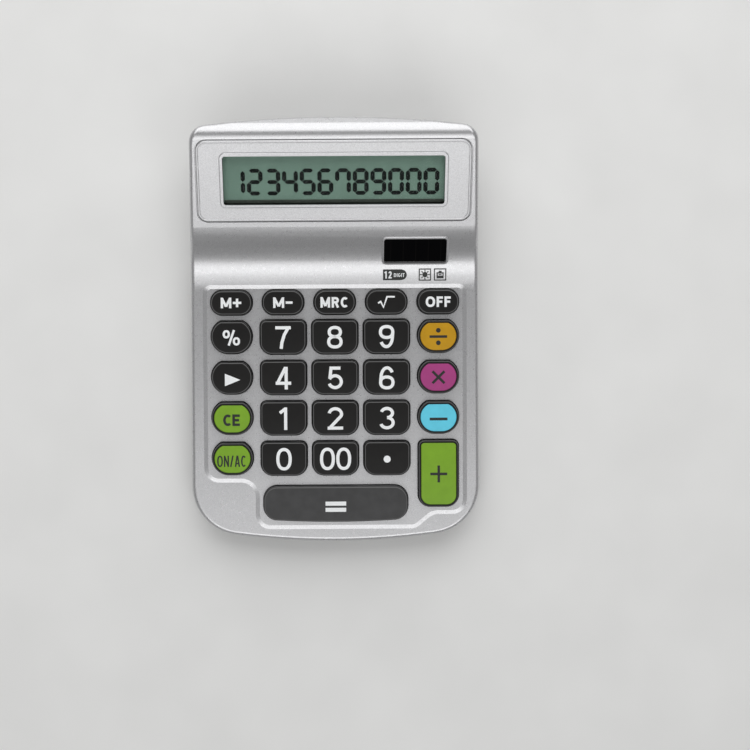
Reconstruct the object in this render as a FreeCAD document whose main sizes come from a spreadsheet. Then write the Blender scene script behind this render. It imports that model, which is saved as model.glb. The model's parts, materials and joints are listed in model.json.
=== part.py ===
"""A desk calculator with a raised display head, built as the pieces it comes apart into.

Millimetres. +X is to the right, +Y towards the back, +Z up. The origin is under the middle of
the body, on the desk that its rubber feet stand on.
"""
import FreeCAD, Part
import math
import os
import re
import Sketcher
from FreeCAD import Vector

# Driving dimensions, in millimetres and degrees
SIZES = {
    # keypad layout, measured along the deck from the fold where the head rises
    "column_pitch": 17.35,
    "row_pitch": 13.67,
    "fold_to_functions": 12.1,
    "functions_to_digits": 11.7,
    "digits_to_equals": 15.4,
    "digits_to_plus": 5.3,
    # key caps
    "function_key_width": 13.9,
    "function_key_depth": 8.3,
    "function_key_corner": 3.9,
    "side_key_width": 13.8,
    "side_key_depth": 10.9,
    "side_key_flat": 7.4,
    "digit_key_side_gap": 1.85,
    "digit_key_row_gap": 2.17,
    "plus_key_width": 13.5,
    "plus_key_depth": 22.6,
    "key_back_corner": 2.0,
    "key_front_corner": 4.0,
    "equals_key_width": 48.6,
    "equals_key_depth": 12.1,
    "equals_key_corner": 4.6,
    "equals_key_bow": 340,
    "key_rise": 3.2,
    "key_crown": 110,
    "key_edge_round": 0.7,
    "key_gap": 0.3,
    "key_travel": 1.3,
    "ear_reach": 0.4,
    "ear_setback": 0.5,
    "ear_thickness": 1.0,
    "ear_gap": 0.1,
    "inlay_rim": 0.85,
    "inlay_depth": 1.0,
    "inlay_gap": 0.05,
    "inlay_edge_round": 0.25,
    # low plateau that the keys stand in
    "plateau_margin": 2.8,
    "plateau_back_margin": 1.85,
    "plateau_rise": 0.4,
    "plateau_foot": 0.05,
    "plateau_bevel": 1.4,
    "plateau_back_corner": 3.0,
    "plateau_front_corner": 5.0,
    # body
    "side_rim": 4.9,
    "equals_to_front": 13.4,
    "front_bow": 250,
    "back_bow": 350,
    "front_corner": 17.6,
    "back_corner": 8.0,
    "draft": 3.6,
    "foot_height": 1.5,
    "front_height": 11.0,
    "deck_tilt": 3.0,
    "wave_run": 10.2,
    "wave_tilt": 40.0,
    "valley_radius": 24.0,
    "brow_radius": 24.0,
    "display_tilt": 27.0,
    "crest_to_back": 5.4,
    "crest_slope": 40.0,
    "crest_radius": 5.0,
    "tail_setback": 1.4,
    "tail_tilt": 25.0,
    "tail_radius": 15.0,
    "parting_height": 5.5,
    "edge_round": 1.4,
    "base_round": 1.5,
    "wall": 2.0,
    "floor_wall": 1.6,
    "lip_height": 1.5,
    "lip_gap": 0.1,
    # display
    "bezel_start": 4.8,
    "bezel_depth": 28.5,
    "bezel_to_crest": 3.5,
    "bezel_margin": 1.8,
    "bezel_corner": 3.5,
    "bezel_seat": 1.0,
    "bezel_proud": 0.4,
    "bezel_gap": 0.35,
    "bezel_round": 0.45,
    "bezel_bead": 0.9,
    "bezel_bead_height": 0.3,
    "window_width": 72.5,
    "window_depth": 17.1,
    "window_rise": 0.4,
    "window_corner": 0.9,
    "window_lip": 1.1,
    "window_lip_height": 0.35,
    "lens_ledge": 1.6,
    "fit_gap": 0.1,
    "solder_gap": 0.02,
    "lcd_width": 77.5,
    "lcd_depth": 23.5,
    "lcd_thickness": 2.0,
    "holder_thickness": 1.2,
    "holder_rim": 0.5,
    "holder_band": 4.0,
    "holder_ear_drop": 7.4,
    "ribbon_width": 28.0,
    "ribbon_thickness": 0.2,
    "ribbon_bond": 2.5,
    "ribbon_drop": 0.6,
    # solar cell
    "solar_across": 27.0,
    "solar_tilt": 36.5,
    "solar_width": 20.9,
    "solar_depth": 9.7,
    "solar_lip_width": 0.7,
    "solar_lip_height": 0.7,
    "solar_sink": 0.4,
    "solar_thickness": 1.1,
    "solar_rim": 1.2,
    "solar_gap": 0.15,
    "lead_diameter": 0.8,
    # board and mat
    "mat_thickness": 0.8,
    "dome_rest": 1.0,
    "dome_radius": 4.2,
    "dome_top_radius": 3.0,
    "dome_wall": 0.6,
    "dome_gap": 0.1,
    "pill_radius": 1.6,
    "pill_thickness": 0.5,
    "board_thickness": 1.2,
    "board_rim": 0.7,
    "board_back_strip": 4.7,
    "board_chamfer": 11.0,
    "board_screw_across": 35.0,
    "processor_radius": 8.0,
    "processor_cut_angle": 58.0,
    "capacitor_radius": 1.7,
    "capacitor_length": 6.5,
    # fasteners, feet and battery
    "screw_radius": 1.25,
    "screw_length": 6.0,
    "screw_head_radius": 2.4,
    "screw_head_height": 1.6,
    "screw_sink": 0.3,
    "screw_seat": 1.0,
    "boss_radius": 2.6,
    "screw_wall_gap": 5.5,
    "front_screw_side": 9.4,
    "front_screw_inset": 9.0,
    "middle_screw_drop": 5.1,
    "back_screw_run": 40.0,
    "small_screw_radius": 0.9,
    "board_screw_grip": 3.4,
    "holder_screw_grip": 2.2,
    "small_screw_head_radius": 1.8,
    "small_screw_head_height": 1.2,
    "small_boss_radius": 1.9,
    "thread_gap": 0.05,
    "slot_width": 0.5,
    "slot_depth": 0.7,
    "foot_radius": 4.5,
    "foot_sink": 0.8,
    "foot_gap": 0.1,
    "foot_across": 33.0,
    "foot_front_inset": 17.0,
    "foot_back_inset": 12.0,
    "post_radius": 1.5,
    "post_gap": 0.1,
    "cell_radius": 5.8,
    "cell_height": 3.05,
    "cell_gap": 0.4,
    "cell_across": -14.0,
    "cell_back_inset": 18.0,
    "well_wall": 1.2,
    "door_margin": 2.3,
    "door_thickness": 0.8,
    "door_gap": 0.25,
    "clip_size": 1.4,
    "clip_height": 1.6,
    "contact_width": 4.0,
    "contact_thickness": 0.3,
}

doc = FreeCAD.newDocument("DeskCalculator")
sheet = doc.addObject("Spreadsheet::Sheet", "Sizes")
for row, (alias, number) in enumerate(SIZES.items(), start=1):
    sheet.set(f"A{row}", alias)
    sheet.set(f"B{row}", str(number))
    sheet.setAlias(f"B{row}", alias)
doc.recompute()


def bound(words):
    """A size in words, with every driving dimension in it read from the sheet."""
    return re.sub(r"[a-z_]+", lambda word: f"Sizes.{word[0]}" if word[0] in SIZES else word[0], words)


def value(words):
    """What a size in words comes to."""
    return float(sheet.evalExpression(bound(words)))


def bind(thing, prop, words):
    """Ties one property of an object to a size in words."""
    thing.setExpression(prop, bound(words))


# Sizes that follow from the driving ones
DISPLAY_LENGTH = "(bezel_start + bezel_depth + bezel_to_crest)"
HEAD_DEPTH = f"(wave_run + {DISPLAY_LENGTH} * cos(display_tilt) + crest_to_back)"
EQUALS_ROW = "(fold_to_functions + functions_to_digits + 3 * row_pitch + digits_to_equals)"
BODY_DEPTH = f"({HEAD_DEPTH} + {EQUALS_ROW} + equals_to_front)"
FRONT = f"(-{BODY_DEPTH} / 2)"
BACK = f"({BODY_DEPTH} / 2)"
PLATEAU_SIDE = "(2 * column_pitch + side_key_width / 2 + plateau_margin)"
BODY_SIDE = f"({PLATEAU_SIDE} + side_rim)"

# Fold lines of the top surface, as heights and places along the body
FOLD_Y = f"({BACK} - {HEAD_DEPTH})"
FOLD_Z = f"(front_height + ({FOLD_Y} - {FRONT}) * tan(deck_tilt))"
BROW_Y = f"({FOLD_Y} + wave_run)"
BROW_Z = f"({FOLD_Z} + wave_run * tan(wave_tilt))"
CREST_Y = f"({BROW_Y} + {DISPLAY_LENGTH} * cos(display_tilt))"
CREST_Z = f"({BROW_Z} + {DISPLAY_LENGTH} * sin(display_tilt))"
TAIL_Y = f"({FOLD_Y} + tail_setback)"
BACK_EDGE_Z = f"(foot_height + base_round + ({BACK} - {TAIL_Y}) * tan(tail_tilt))"
FRONT_EDGE_Z = "(foot_height + base_round)"

# Tilted frames that pieces are placed in: the line where each starts, and its tilt
DECK = (FOLD_Y, FOLD_Z, "deck_tilt")
DISPLAY = (BROW_Y, BROW_Z, "display_tilt")
BASE = ("0", "foot_height", "0")
TAIL = (TAIL_Y, "foot_height", "tail_tilt")

# Levels below the deck
KEY_FOOT = "(wall + ear_gap + ear_thickness)"
PILL_TOP = f"({KEY_FOOT} + dome_gap + key_travel)"
MAT_TOP = f"({PILL_TOP} + dome_rest)"
BOARD_TOP = f"({MAT_TOP} + mat_thickness)"
BOARD_UNDERSIDE = f"({BOARD_TOP} + board_thickness)"

# Edges of the board and the mat, in the deck's frame
BOARD_SIDE = "(2 * column_pitch + dome_radius + board_rim)"
MAT_BACK = "(-fold_to_functions + dome_radius + board_rim)"
BOARD_BACK = f"({MAT_BACK} + board_back_strip)"
BOARD_FRONT = f"(-{EQUALS_ROW} - dome_radius)"
BOARD_SCREW_ALONG = f"({MAT_BACK} + board_back_strip / 2)"


def spot(frame, across="0", along="0", above="0"):
    """A point of a tilted frame, as three sizes in words."""
    start, height, tilt = frame
    y = f"{start} + ({along}) * cos({tilt}) - ({above}) * sin({tilt})"
    z = f"{height} + ({along}) * sin({tilt}) + ({above}) * cos({tilt})"
    return across, y, z


def place(thing, frame, across="0", along="0", above="0"):
    """Puts an object's own origin at a point of a tilted frame, turned with it."""
    for axis, words in zip("xyz", spot(frame, across, along, above)):
        bind(thing, f"Placement.Base.{axis}", words)
    if frame[2] != "0":
        thing.Placement.Rotation = FreeCAD.Rotation(Vector(1, 0, 0), value(frame[2]))
        bind(thing, "Placement.Rotation.Angle", frame[2])
    return thing


def box(label, frame, across, along, above, length, width, height):
    """A block centred on a point of a frame, standing on the height given."""
    block = doc.addObject("Part::Box", label)
    bind(block, "Length", length)
    bind(block, "Width", width)
    bind(block, "Height", height)
    return place(block, frame, f"{across} - ({length}) / 2", f"{along} - ({width}) / 2", above)


def cylinder(label, frame, across, along, above, radius, height):
    """A round bar along a frame's normal."""
    bar = doc.addObject("Part::Cylinder", label)
    bind(bar, "Radius", radius)
    bind(bar, "Height", height)
    return place(bar, frame, across, along, above)


def cone(label, frame, across, along, above, lower_radius, upper_radius, height):
    """A cut-off cone along a frame's normal."""
    bar = doc.addObject("Part::Cone", label)
    bind(bar, "Radius1", lower_radius)
    bind(bar, "Radius2", upper_radius)
    bind(bar, "Height", height)
    return place(bar, frame, across, along, above)


def cut(label, base, tool):
    """The base without the tool."""
    result = doc.addObject("Part::Cut", label)
    result.Base = base
    result.Tool = tool
    return result


def common(label, base, tool):
    """What two shapes share."""
    result = doc.addObject("Part::Common", label)
    result.Base = base
    result.Tool = tool
    return result


def fuse(label, shapes):
    """Several shapes made one."""
    result = doc.addObject("Part::MultiFuse", label)
    result.Shapes = shapes
    result.Refine = True
    return result


def group(label, shapes):
    """Separate solids kept together."""
    result = doc.addObject("Part::Compound", label)
    result.Links = shapes
    return result


def new_body(label):
    return doc.addObject("PartDesign::Body", label)


def sketch_on(body, role, name, lift="0"):
    """A sketch on one of its body's own planes, lifted along the plane's normal."""
    sketch = body.newObject("Sketcher::SketchObject", name)
    plane = next(feature for feature in body.Origin.OriginFeatures if feature.Role == role)
    sketch.AttachmentSupport = [(plane, "")]
    sketch.MapMode = "FlatFace"
    bind(sketch, "AttachmentOffset.Base.z", lift)
    return sketch


def dimension(sketch, kind, where, words):
    """A sketch dimension that follows a size in words."""
    index = sketch.addConstraint(Sketcher.Constraint(kind, *where, value(words)))
    bind(sketch, f"Constraints[{index}]", words)


def join_ends(sketch, pieces):
    """Closes a run of lines and arcs, each given as its number, first end and last end."""
    for (one, _, end), (other, start, _) in zip(pieces, pieces[1:] + pieces[:1]):
        sketch.addConstraint(Sketcher.Constraint("Coincident", one, end, other, start))


def draw_polygon(sketch, corners):
    """A closed run of straight sides, each corner tied to two sizes in words."""
    points = [Vector(value(x), value(y), 0) for x, y in corners]
    for start, end in zip(points, points[1:] + points[:1]):
        sketch.addGeometry(Part.LineSegment(start, end))
    join_ends(sketch, [(side, 1, 2) for side in range(len(points))])
    for side, (x, y) in enumerate(corners):
        dimension(sketch, "DistanceX", (side, 1), x)
        dimension(sketch, "DistanceY", (side, 1), y)


def draw_rectangle(sketch, half, deep, along="0"):
    """A rectangle that is centred across and moved along, from half its width and depth."""
    near, far = f"{along} - {deep}", f"{along} + {deep}"
    draw_polygon(sketch, [(half, near), (half, far), (f"-{half}", far), (f"-{half}", near)])


def draw_bowed(sketch, side, front, back, front_bow, back_bow=None):
    """Two straight sides, a front edge bowed outwards and a back edge straight or bowed."""
    right, near, far = value(side), value(front), value(back)

    def dip(bow):
        return value(bow) - math.sqrt(value(bow) ** 2 - right ** 2) if bow else 0

    near_corner = near + dip(front_bow)
    far_corner = far - dip(back_bow)
    sketch.addGeometry(Part.LineSegment(Vector(right, near_corner, 0), Vector(right, far_corner, 0)))
    if back_bow:
        sketch.addGeometry(Part.Arc(Vector(right, far_corner, 0), Vector(0, far, 0),
                                    Vector(-right, far_corner, 0)))
    else:
        sketch.addGeometry(Part.LineSegment(Vector(right, far, 0), Vector(-right, far, 0)))
    sketch.addGeometry(Part.LineSegment(Vector(-right, far_corner, 0), Vector(-right, near_corner, 0)))
    sketch.addGeometry(Part.Arc(Vector(-right, near_corner, 0), Vector(0, near, 0),
                                Vector(right, near_corner, 0)))
    join_ends(sketch, [(edge, 1, 2) for edge in range(4)])
    for edge in (0, 2):
        sketch.addConstraint(Sketcher.Constraint("Vertical", edge))
    dimension(sketch, "DistanceX", (0, 1), side)
    dimension(sketch, "DistanceX", (2, 1), f"-({side})")
    sketch.addConstraint(Sketcher.Constraint("PointOnObject", 3, 3, -2))
    dimension(sketch, "Radius", (3,), front_bow)
    dimension(sketch, "DistanceY", (3, 3), f"{front} + {front_bow}")
    if back_bow:
        sketch.addConstraint(Sketcher.Constraint("PointOnObject", 1, 3, -2))
        dimension(sketch, "Radius", (1,), back_bow)
        dimension(sketch, "DistanceY", (1, 3), f"{back} - {back_bow}")
    else:
        sketch.addConstraint(Sketcher.Constraint("Horizontal", 1))
        dimension(sketch, "DistanceY", (1, 1), back)


def draw_flat_backed(sketch, width, depth, flat):
    """Two round ends joined by a short front edge, with the back cut flat at a given width.

    Each end's radius is the one that meets both the front edge and the end of the flat.
    """
    shoulder = f"((({width}) - ({flat})) / 2)"
    ends = f"(({depth}) + {shoulder} - sqrt(2 * {shoulder} * ({depth})))"
    right, near = f"({width}) / 2 - {ends}", f"-({depth}) / 2"
    radius, reach, low = value(ends), value(right), value(near)
    high, half = value(depth) / 2, value(flat) / 2
    middle = low + radius
    turn = Vector(reach + radius, middle, 0)
    mirrored = Vector(-turn.x, middle, 0)
    sketch.addGeometry(Part.LineSegment(Vector(half, high, 0), Vector(-half, high, 0)))
    sketch.addGeometry(Part.Arc(Vector(-half, high, 0), mirrored, Vector(-reach, low, 0)))
    sketch.addGeometry(Part.LineSegment(Vector(-reach, low, 0), Vector(reach, low, 0)))
    sketch.addGeometry(Part.Arc(Vector(reach, low, 0), turn, Vector(half, high, 0)))
    join_ends(sketch, [(edge, 1, 2) for edge in range(4)])
    for edge, side in ((1, "-1"), (3, "1")):
        dimension(sketch, "Radius", (edge,), ends)
        dimension(sketch, "DistanceX", (edge, 3), f"{side} * ({right})")
        dimension(sketch, "DistanceY", (edge, 3), f"{near} + {ends}")
    for corner, side in ((1, "-1"), (2, "1")):
        dimension(sketch, "DistanceX", (2, corner), f"{side} * ({right})")
    sketch.addConstraint(Sketcher.Constraint("Horizontal", 0))
    dimension(sketch, "DistanceY", (0, 1), f"({depth}) / 2")


def pad(body, sketch, length, both_ways=False):
    """Thickens a sketch along its normal."""
    feature = body.newObject("PartDesign::Pad", sketch.Name + "_pad")
    feature.Profile = sketch
    feature.SideType = "Symmetric" if both_ways else "One side"
    bind(feature, "Length", length)
    doc.recompute([feature])
    return feature


def pocket(body, sketch, length, both_ways=False, reverse=False):
    """Cuts a sketch into its body, and makes sure that it took something away."""
    before = body.Tip.Shape.Volume
    feature = body.newObject("PartDesign::Pocket", sketch.Name + "_pocket")
    feature.Profile = sketch
    feature.SideType = "Symmetric" if both_ways else "One side"
    feature.Reversed = reverse
    bind(feature, "Length", length)
    doc.recompute([feature])
    if feature.Shape.Volume >= before:
        raise RuntimeError(f"{sketch.Name} cuts nothing")
    return feature


def round_edges(body, name, radius, wanted):
    """Rounds those edges of a body's last feature that a test picks out."""
    tip = body.Tip
    edges = [f"Edge{number}" for number, edge in enumerate(tip.Shape.Edges, start=1) if wanted(edge)]
    feature = body.newObject("PartDesign::Fillet", name)
    feature.Base = (tip, edges)
    bind(feature, "Radius", radius)
    doc.recompute([feature])
    return feature


def upright(edge):
    """Whether an edge runs straight along its body's normal."""
    ends = edge.Vertexes
    if len(ends) < 2:
        return False
    run = ends[1].Point - ends[0].Point
    return math.hypot(run.x, run.y) < 1e-6 < abs(run.z)


def round_corners(body, name, back_radius, front_radius, middle="0"):
    """Rounds a block's upright corners, those behind a line and those in front of it."""
    line = value(middle)
    round_edges(body, name + "_back", back_radius, lambda edge: upright(edge) and edge.CenterOfMass.y > line)
    round_edges(body, name + "_front", front_radius, lambda edge: upright(edge) and edge.CenterOfMass.y < line)


def block_body(label, frame, across, along, above, length, width, height, corner):
    """A plate with four round corners, centred on a point of a frame."""
    body = new_body(label)
    sketch = sketch_on(body, "XY_Plane", label + "_outline")
    draw_rectangle(sketch, f"({length}) / 2", f"({width}) / 2")
    pad(body, sketch, height)
    round_edges(body, label + "_corners", corner, upright)
    place(body, frame, across, along, above)
    return body


# The body's outline seen from above, leaning inwards by the draft
def drafted_outline(label, inset):
    """The body's plan as a tall block, moved in from the outside by an inset."""
    body = new_body(label)
    sketch = sketch_on(body, "XY_Plane", label + "_plan")
    front = f"{FRONT} - {FRONT_EDGE_Z} * tan(draft) + {inset}"
    back = f"{BACK} + {BACK_EDGE_Z} * tan(draft) - {inset}"
    side = f"{BODY_SIDE} - {inset}"
    draw_bowed(sketch, side, front, back, f"(front_bow - {inset})", f"(back_bow - {inset})")
    pad(body, sketch, f"{CREST_Z} + {BACK_EDGE_Z}")
    round_corners(body, label + "_corners", f"back_corner - {inset}", f"front_corner - {inset}")
    tip = body.Tip
    lean = body.newObject("PartDesign::Draft", label + "_draft")
    walls = [number for number, face in enumerate(tip.Shape.Faces, start=1) if abs(face.normalAt(0, 0).z) < 0.5]
    lean.Base = (tip, [f"Face{number}" for number in walls])
    plane = next(feature for feature in body.Origin.OriginFeatures if feature.Role == "XY_Plane")
    lean.NeutralPlane = (plane, [""])
    bind(lean, "Angle", "draft")
    doc.recompute([lean])
    return body


# The body's side view, as slabs between a lower and an upper line
def fold_corner(y, z, lower_tilt, upper_tilt, inset):
    """A fold of the top line, moved inwards so that both of its sides move by the inset."""
    mean, half_turn = f"(({lower_tilt} + {upper_tilt}) / 2)", f"(({upper_tilt} - {lower_tilt}) / 2)"
    return (f"{y} + {inset} * sin{mean} / cos{half_turn}", f"{z} - {inset} * cos{mean} / cos{half_turn}")


def top_line(inset):
    """Corners of the top surface's side view, from the back to the front."""
    far_back, far_front = f"({BACK} + back_corner)", f"({FRONT} - front_corner)"
    sink = f"{inset} / cos(crest_slope)"
    deck_sink = f"{inset} / cos(deck_tilt)"
    return [
        (far_back, f"{CREST_Z} - ({far_back} - {CREST_Y}) * tan(crest_slope) - {sink}"),
        fold_corner(CREST_Y, CREST_Z, "display_tilt", "-crest_slope", inset),
        fold_corner(BROW_Y, BROW_Z, "wave_tilt", "display_tilt", inset),
        fold_corner(FOLD_Y, FOLD_Z, "deck_tilt", "wave_tilt", inset),
        (far_front, f"{FOLD_Z} - ({FOLD_Y} - {far_front}) * tan(deck_tilt) - {deck_sink}"),
    ]


def base_line(lift):
    """Corners of a line that follows the underside at a height above it, from front to back."""
    far_back, far_front = f"({BACK} + back_corner)", f"({FRONT} - front_corner)"
    level = f"foot_height + {lift}"
    return [
        (far_front, level),
        (TAIL_Y, level),
        (far_back, f"{level} + ({far_back} - {TAIL_Y}) * tan(tail_tilt)"),
    ]


def slab(label, lower, upper, rounds):
    """A side view between two lines, drawn out across the body, with chosen folds rounded."""
    body = new_body(label)
    sketch = sketch_on(body, "YZ_Plane", label + "_side")
    draw_polygon(sketch, lower + upper)
    pad(body, sketch, f"2 * {BODY_SIDE} + back_corner", both_ways=True)
    for name, radius, (y, z) in rounds:
        corner = Vector(0, value(y), value(z))
        round_edges(body, f"{label}_{name}", radius,
                    lambda edge, corner=corner: edge.CenterOfMass.distanceToPoint(corner) < 0.01)
    return body


def top_rounds(inset):
    """The three rounded folds of the top line at an inset."""
    corners = top_line(inset)
    return [
        ("crest", f"crest_radius - {inset}", corners[1]),
        ("brow", f"brow_radius - {inset}", corners[2]),
        ("valley", f"valley_radius + {inset}", corners[3]),
    ]


def round_rim(label, base, radius, facing):
    """Rounds the whole rim where the leaning walls meet the top, or the underside."""
    doc.recompute([base])
    shape = base.Shape
    lean = math.sin(math.radians(value("draft")))

    def slope(face):
        first_u, last_u, first_v, last_v = face.ParameterRange
        return face.normalAt((first_u + last_u) / 2, (first_v + last_v) / 2).z

    def is_wall(face):
        return abs(slope(face) - lean) < 1e-3

    rim = []
    for number, edge in enumerate(shape.Edges, start=1):
        faces = [face for face in shape.ancestorsOfType(edge, Part.Face)]
        if sum(is_wall(face) for face in faces) != 1:
            continue
        if any(not is_wall(face) and slope(face) * facing > 0.2 for face in faces):
            rim.append((number, value(radius), value(radius)))
    rounded = doc.addObject("Part::Fillet", label)
    rounded.Base = base
    rounded.Edges = rim
    return rounded


# Keys: name, outline, place across and along the deck, width, depth, coloured face or not
def digit_row(number):
    return f"-(fold_to_functions + functions_to_digits + {number} * row_pitch)"


def make_key_list():
    function_row = "-fold_to_functions"
    keys = []
    for column, name in enumerate(("memory_plus", "memory_minus", "memory_recall", "root", "off"), start=-2):
        keys.append((name, "pill", f"{column} * column_pitch", function_row,
                     "function_key_width", "function_key_depth", False))
    for row, name in enumerate(("percent", "step", "clear_entry", "on_clear")):
        keys.append((name, "flat_oval", "-2 * column_pitch", digit_row(row),
                     "side_key_width", "side_key_depth", row > 1))
    for row, name in enumerate(("divide", "multiply", "minus")):
        keys.append((name, "flat_oval", "2 * column_pitch", digit_row(row),
                     "side_key_width", "side_key_depth", True))
    plus_row = f"{digit_row(3)} - digits_to_plus"
    keys.append(("plus", "block", "2 * column_pitch", plus_row, "plus_key_width", "plus_key_depth", True))
    rows = (("7", "8", "9"), ("4", "5", "6"), ("1", "2", "3"), ("0", "00", "point"))
    for row, names in enumerate(rows):
        for column, name in enumerate(names, start=-1):
            keys.append((name, "block", f"{column} * column_pitch", digit_row(row),
                         "(column_pitch - digit_key_side_gap)", "(row_pitch - digit_key_row_gap)", False))
    keys.append(("equals", "bar", "0", f"-{EQUALS_ROW}", "equals_key_width", "equals_key_depth", False))
    return keys


KEYS = make_key_list()


def key_outline(label, key, grow, low, high):
    """A key's outline, grown on all sides, as a block between two levels of its own frame."""
    name, outline, across, along, width, depth, coloured = key
    body = new_body(label)
    sketch = sketch_on(body, "XY_Plane", label + "_outline", low)
    wide, deep = f"({width} + 2 * {grow})", f"({depth} + 2 * {grow})"
    rise = f"{high} - ({low})"
    if outline == "flat_oval":
        draw_flat_backed(sketch, wide, deep, f"(side_key_flat + {grow})")
        pad(body, sketch, rise)
    elif outline == "bar":
        draw_bowed(sketch, f"{wide} / 2", f"-{deep} / 2", f"{deep} / 2", "equals_key_bow")
        pad(body, sketch, rise)
        round_corners(body, label + "_corners", f"equals_key_corner + {grow}", f"equals_key_corner + {grow}")
    else:
        half, end = f"{wide} / 2", f"{deep} / 2"
        draw_polygon(sketch, [(half, f"-{end}"), (half, end), (f"-{half}", end), (f"-{half}", f"-{end}")])
        pad(body, sketch, rise)
        back, front = "key_back_corner", "key_front_corner"
        if outline == "pill":
            back = front = "function_key_corner"
        round_corners(body, label + "_corners", f"{back} + {grow}", f"{front} + {grow}")
    return body


def crown_top(body, label, depth):
    """Cuts a key's top to a shallow arch that runs from its front to its back."""
    sketch = sketch_on(body, "YZ_Plane", label + "_crown")
    reach, top, radius = value(depth) / 2 + 1, value("key_rise"), value("key_crown")
    end = top - radius + math.sqrt(radius ** 2 - reach ** 2)
    roof = top + 1
    sketch.addGeometry(Part.Arc(Vector(reach, end, 0), Vector(0, top, 0), Vector(-reach, end, 0)))
    sketch.addGeometry(Part.LineSegment(Vector(-reach, end, 0), Vector(-reach, roof, 0)))
    sketch.addGeometry(Part.LineSegment(Vector(-reach, roof, 0), Vector(reach, roof, 0)))
    sketch.addGeometry(Part.LineSegment(Vector(reach, roof, 0), Vector(reach, end, 0)))
    join_ends(sketch, [(edge, 1, 2) for edge in range(4)])
    sketch.addConstraint(Sketcher.Constraint("PointOnObject", 0, 3, -2))
    dimension(sketch, "Radius", (0,), "key_crown")
    dimension(sketch, "DistanceY", (0, 3), "key_rise - key_crown")
    for edge in (1, 3):
        sketch.addConstraint(Sketcher.Constraint("Vertical", edge))
    sketch.addConstraint(Sketcher.Constraint("Horizontal", 2))
    dimension(sketch, "DistanceX", (1, 1), f"-({depth} / 2 + 1)")
    dimension(sketch, "DistanceX", (3, 1), f"{depth} / 2 + 1")
    dimension(sketch, "DistanceY", (2, 1), "key_rise + 1")
    pocket(body, sketch, "4 * equals_key_width", both_ways=True)


def top_edge(edge):
    """Whether an edge belongs to the rim of a key's arched top."""
    return edge.CenterOfMass.z > value("key_rise - 0.8 * inlay_depth") and not upright(edge)


def make_key(key):
    """One key: a cap with an arched top, and ears that stop it under the deck."""
    name, outline, across, along, width, depth, coloured = key
    label = f"key_{name}"
    body = key_outline(label, key, "0", f"-{KEY_FOOT}", "key_rise")
    crown_top(body, label, depth)
    round_edges(body, label + "_edge", "inlay_rim / 2" if coloured else "key_edge_round", top_edge)
    ears = sketch_on(body, "XY_Plane", label + "_ears", f"-{KEY_FOOT}")
    side, end = f"({width} / 2 + key_gap + ear_reach)", f"({depth} / 2 - ear_setback)"
    draw_polygon(ears, [(side, f"-{end}"), (side, end), (f"-{side}", end), (f"-{side}", f"-{end}")])
    pad(body, ears, "ear_thickness")
    return body


def make_keys():
    """Every key in its place, and a coloured face let into six of them."""
    pieces = []
    for key in KEYS:
        name, outline, across, along, width, depth, coloured = key
        body = make_key(key)
        place(body, DECK, across, along)
        if coloured:
            face = key_outline(f"inlay_{name}", key, "(-inlay_rim)", "key_rise - inlay_depth", "key_rise")
            crown_top(face, f"inlay_{name}", depth)
            round_edges(face, f"inlay_{name}_edge", "inlay_edge_round", top_edge)
            place(face, DECK, across, along)
            seat = key_outline(f"seat_{name}", key, "(inlay_gap - inlay_rim)",
                               "key_rise - inlay_depth - inlay_gap", "key_rise + 1")
            place(seat, DECK, across, along)
            body.Label = f"cap_{name}"
            body = cut(f"key_{name}_cap", body, seat)
            body.Label = f"key_{name}"
            pieces.append(face)
        pieces.append(body)
    return pieces


def make_key_holes():
    """The holes that the keys slide in, right through the deck."""
    holes = []
    for key in KEYS:
        hole = key_outline(f"hole_{key[0]}", key, "key_gap", f"-{KEY_FOOT}", "key_rise")
        holes.append(place(hole, DECK, key[2], key[3]))
    return group("key_holes", holes)


def make_plateau():
    """The low plateau round the keys, with a sloping edge."""
    body = new_body("plateau")
    sketch = sketch_on(body, "XY_Plane", "plateau_outline", "-wall / 2")
    back = "(-fold_to_functions + function_key_depth / 2 + plateau_back_margin)"
    side_end = f"({digit_row(3)} - side_key_depth / 2 - plateau_margin)"
    plus_end = f"({digit_row(3)} - digits_to_plus - plus_key_depth / 2 - plateau_margin)"
    equals_end = f"(-{EQUALS_ROW} - equals_key_depth / 2 - plateau_margin)"
    equals_side = "(equals_key_width / 2 + plateau_margin)"
    plus_side = "(2 * column_pitch - plus_key_width / 2 + plateau_front_corner)"
    draw_polygon(sketch, [
        (PLATEAU_SIDE, back),
        (f"-{PLATEAU_SIDE}", back),
        (f"-{PLATEAU_SIDE}", side_end),
        (f"-{equals_side}", side_end),
        (f"-{equals_side}", equals_end),
        (equals_side, equals_end),
        (plus_side, plus_end),
        (PLATEAU_SIDE, plus_end),
    ])
    pad(body, sketch, "wall / 2 + plateau_rise")
    round_corners(body, "plateau_corners", "plateau_back_corner", "plateau_front_corner", "-row_pitch * 2")
    tip = body.Tip
    top = max(tip.Shape.Faces, key=lambda face: face.CenterOfMass.z)
    rim = [number for number, edge in enumerate(tip.Shape.Edges, start=1)
           if any(edge.isSame(other) for other in top.Edges)]
    bevel = body.newObject("PartDesign::Chamfer", "plateau_bevel_cut")
    bevel.Base = (tip, [f"Edge{number}" for number in rim])
    bevel.ChamferType = "Two distances"
    bevel.FlipDirection = True
    bind(bevel, "Size", "plateau_bevel")
    bind(bevel, "Size2", "plateau_rise - plateau_foot")
    return place(body, DECK)


# Display parts, all in the display's own tilted frame
BEZEL_ALONG = "(bezel_start + bezel_depth / 2)"
WINDOW_ALONG = f"({BEZEL_ALONG} + window_rise)"
BEZEL_WIDTH = f"(2 * ({BODY_SIDE} - {CREST_Z} * tan(draft) - bezel_margin))"
EAR_ALONG = f"({WINDOW_ALONG} - holder_ear_drop)"
EAR_ACROSS = "(lcd_width / 2 + fit_gap + small_boss_radius + holder_rim / 2)"


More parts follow.
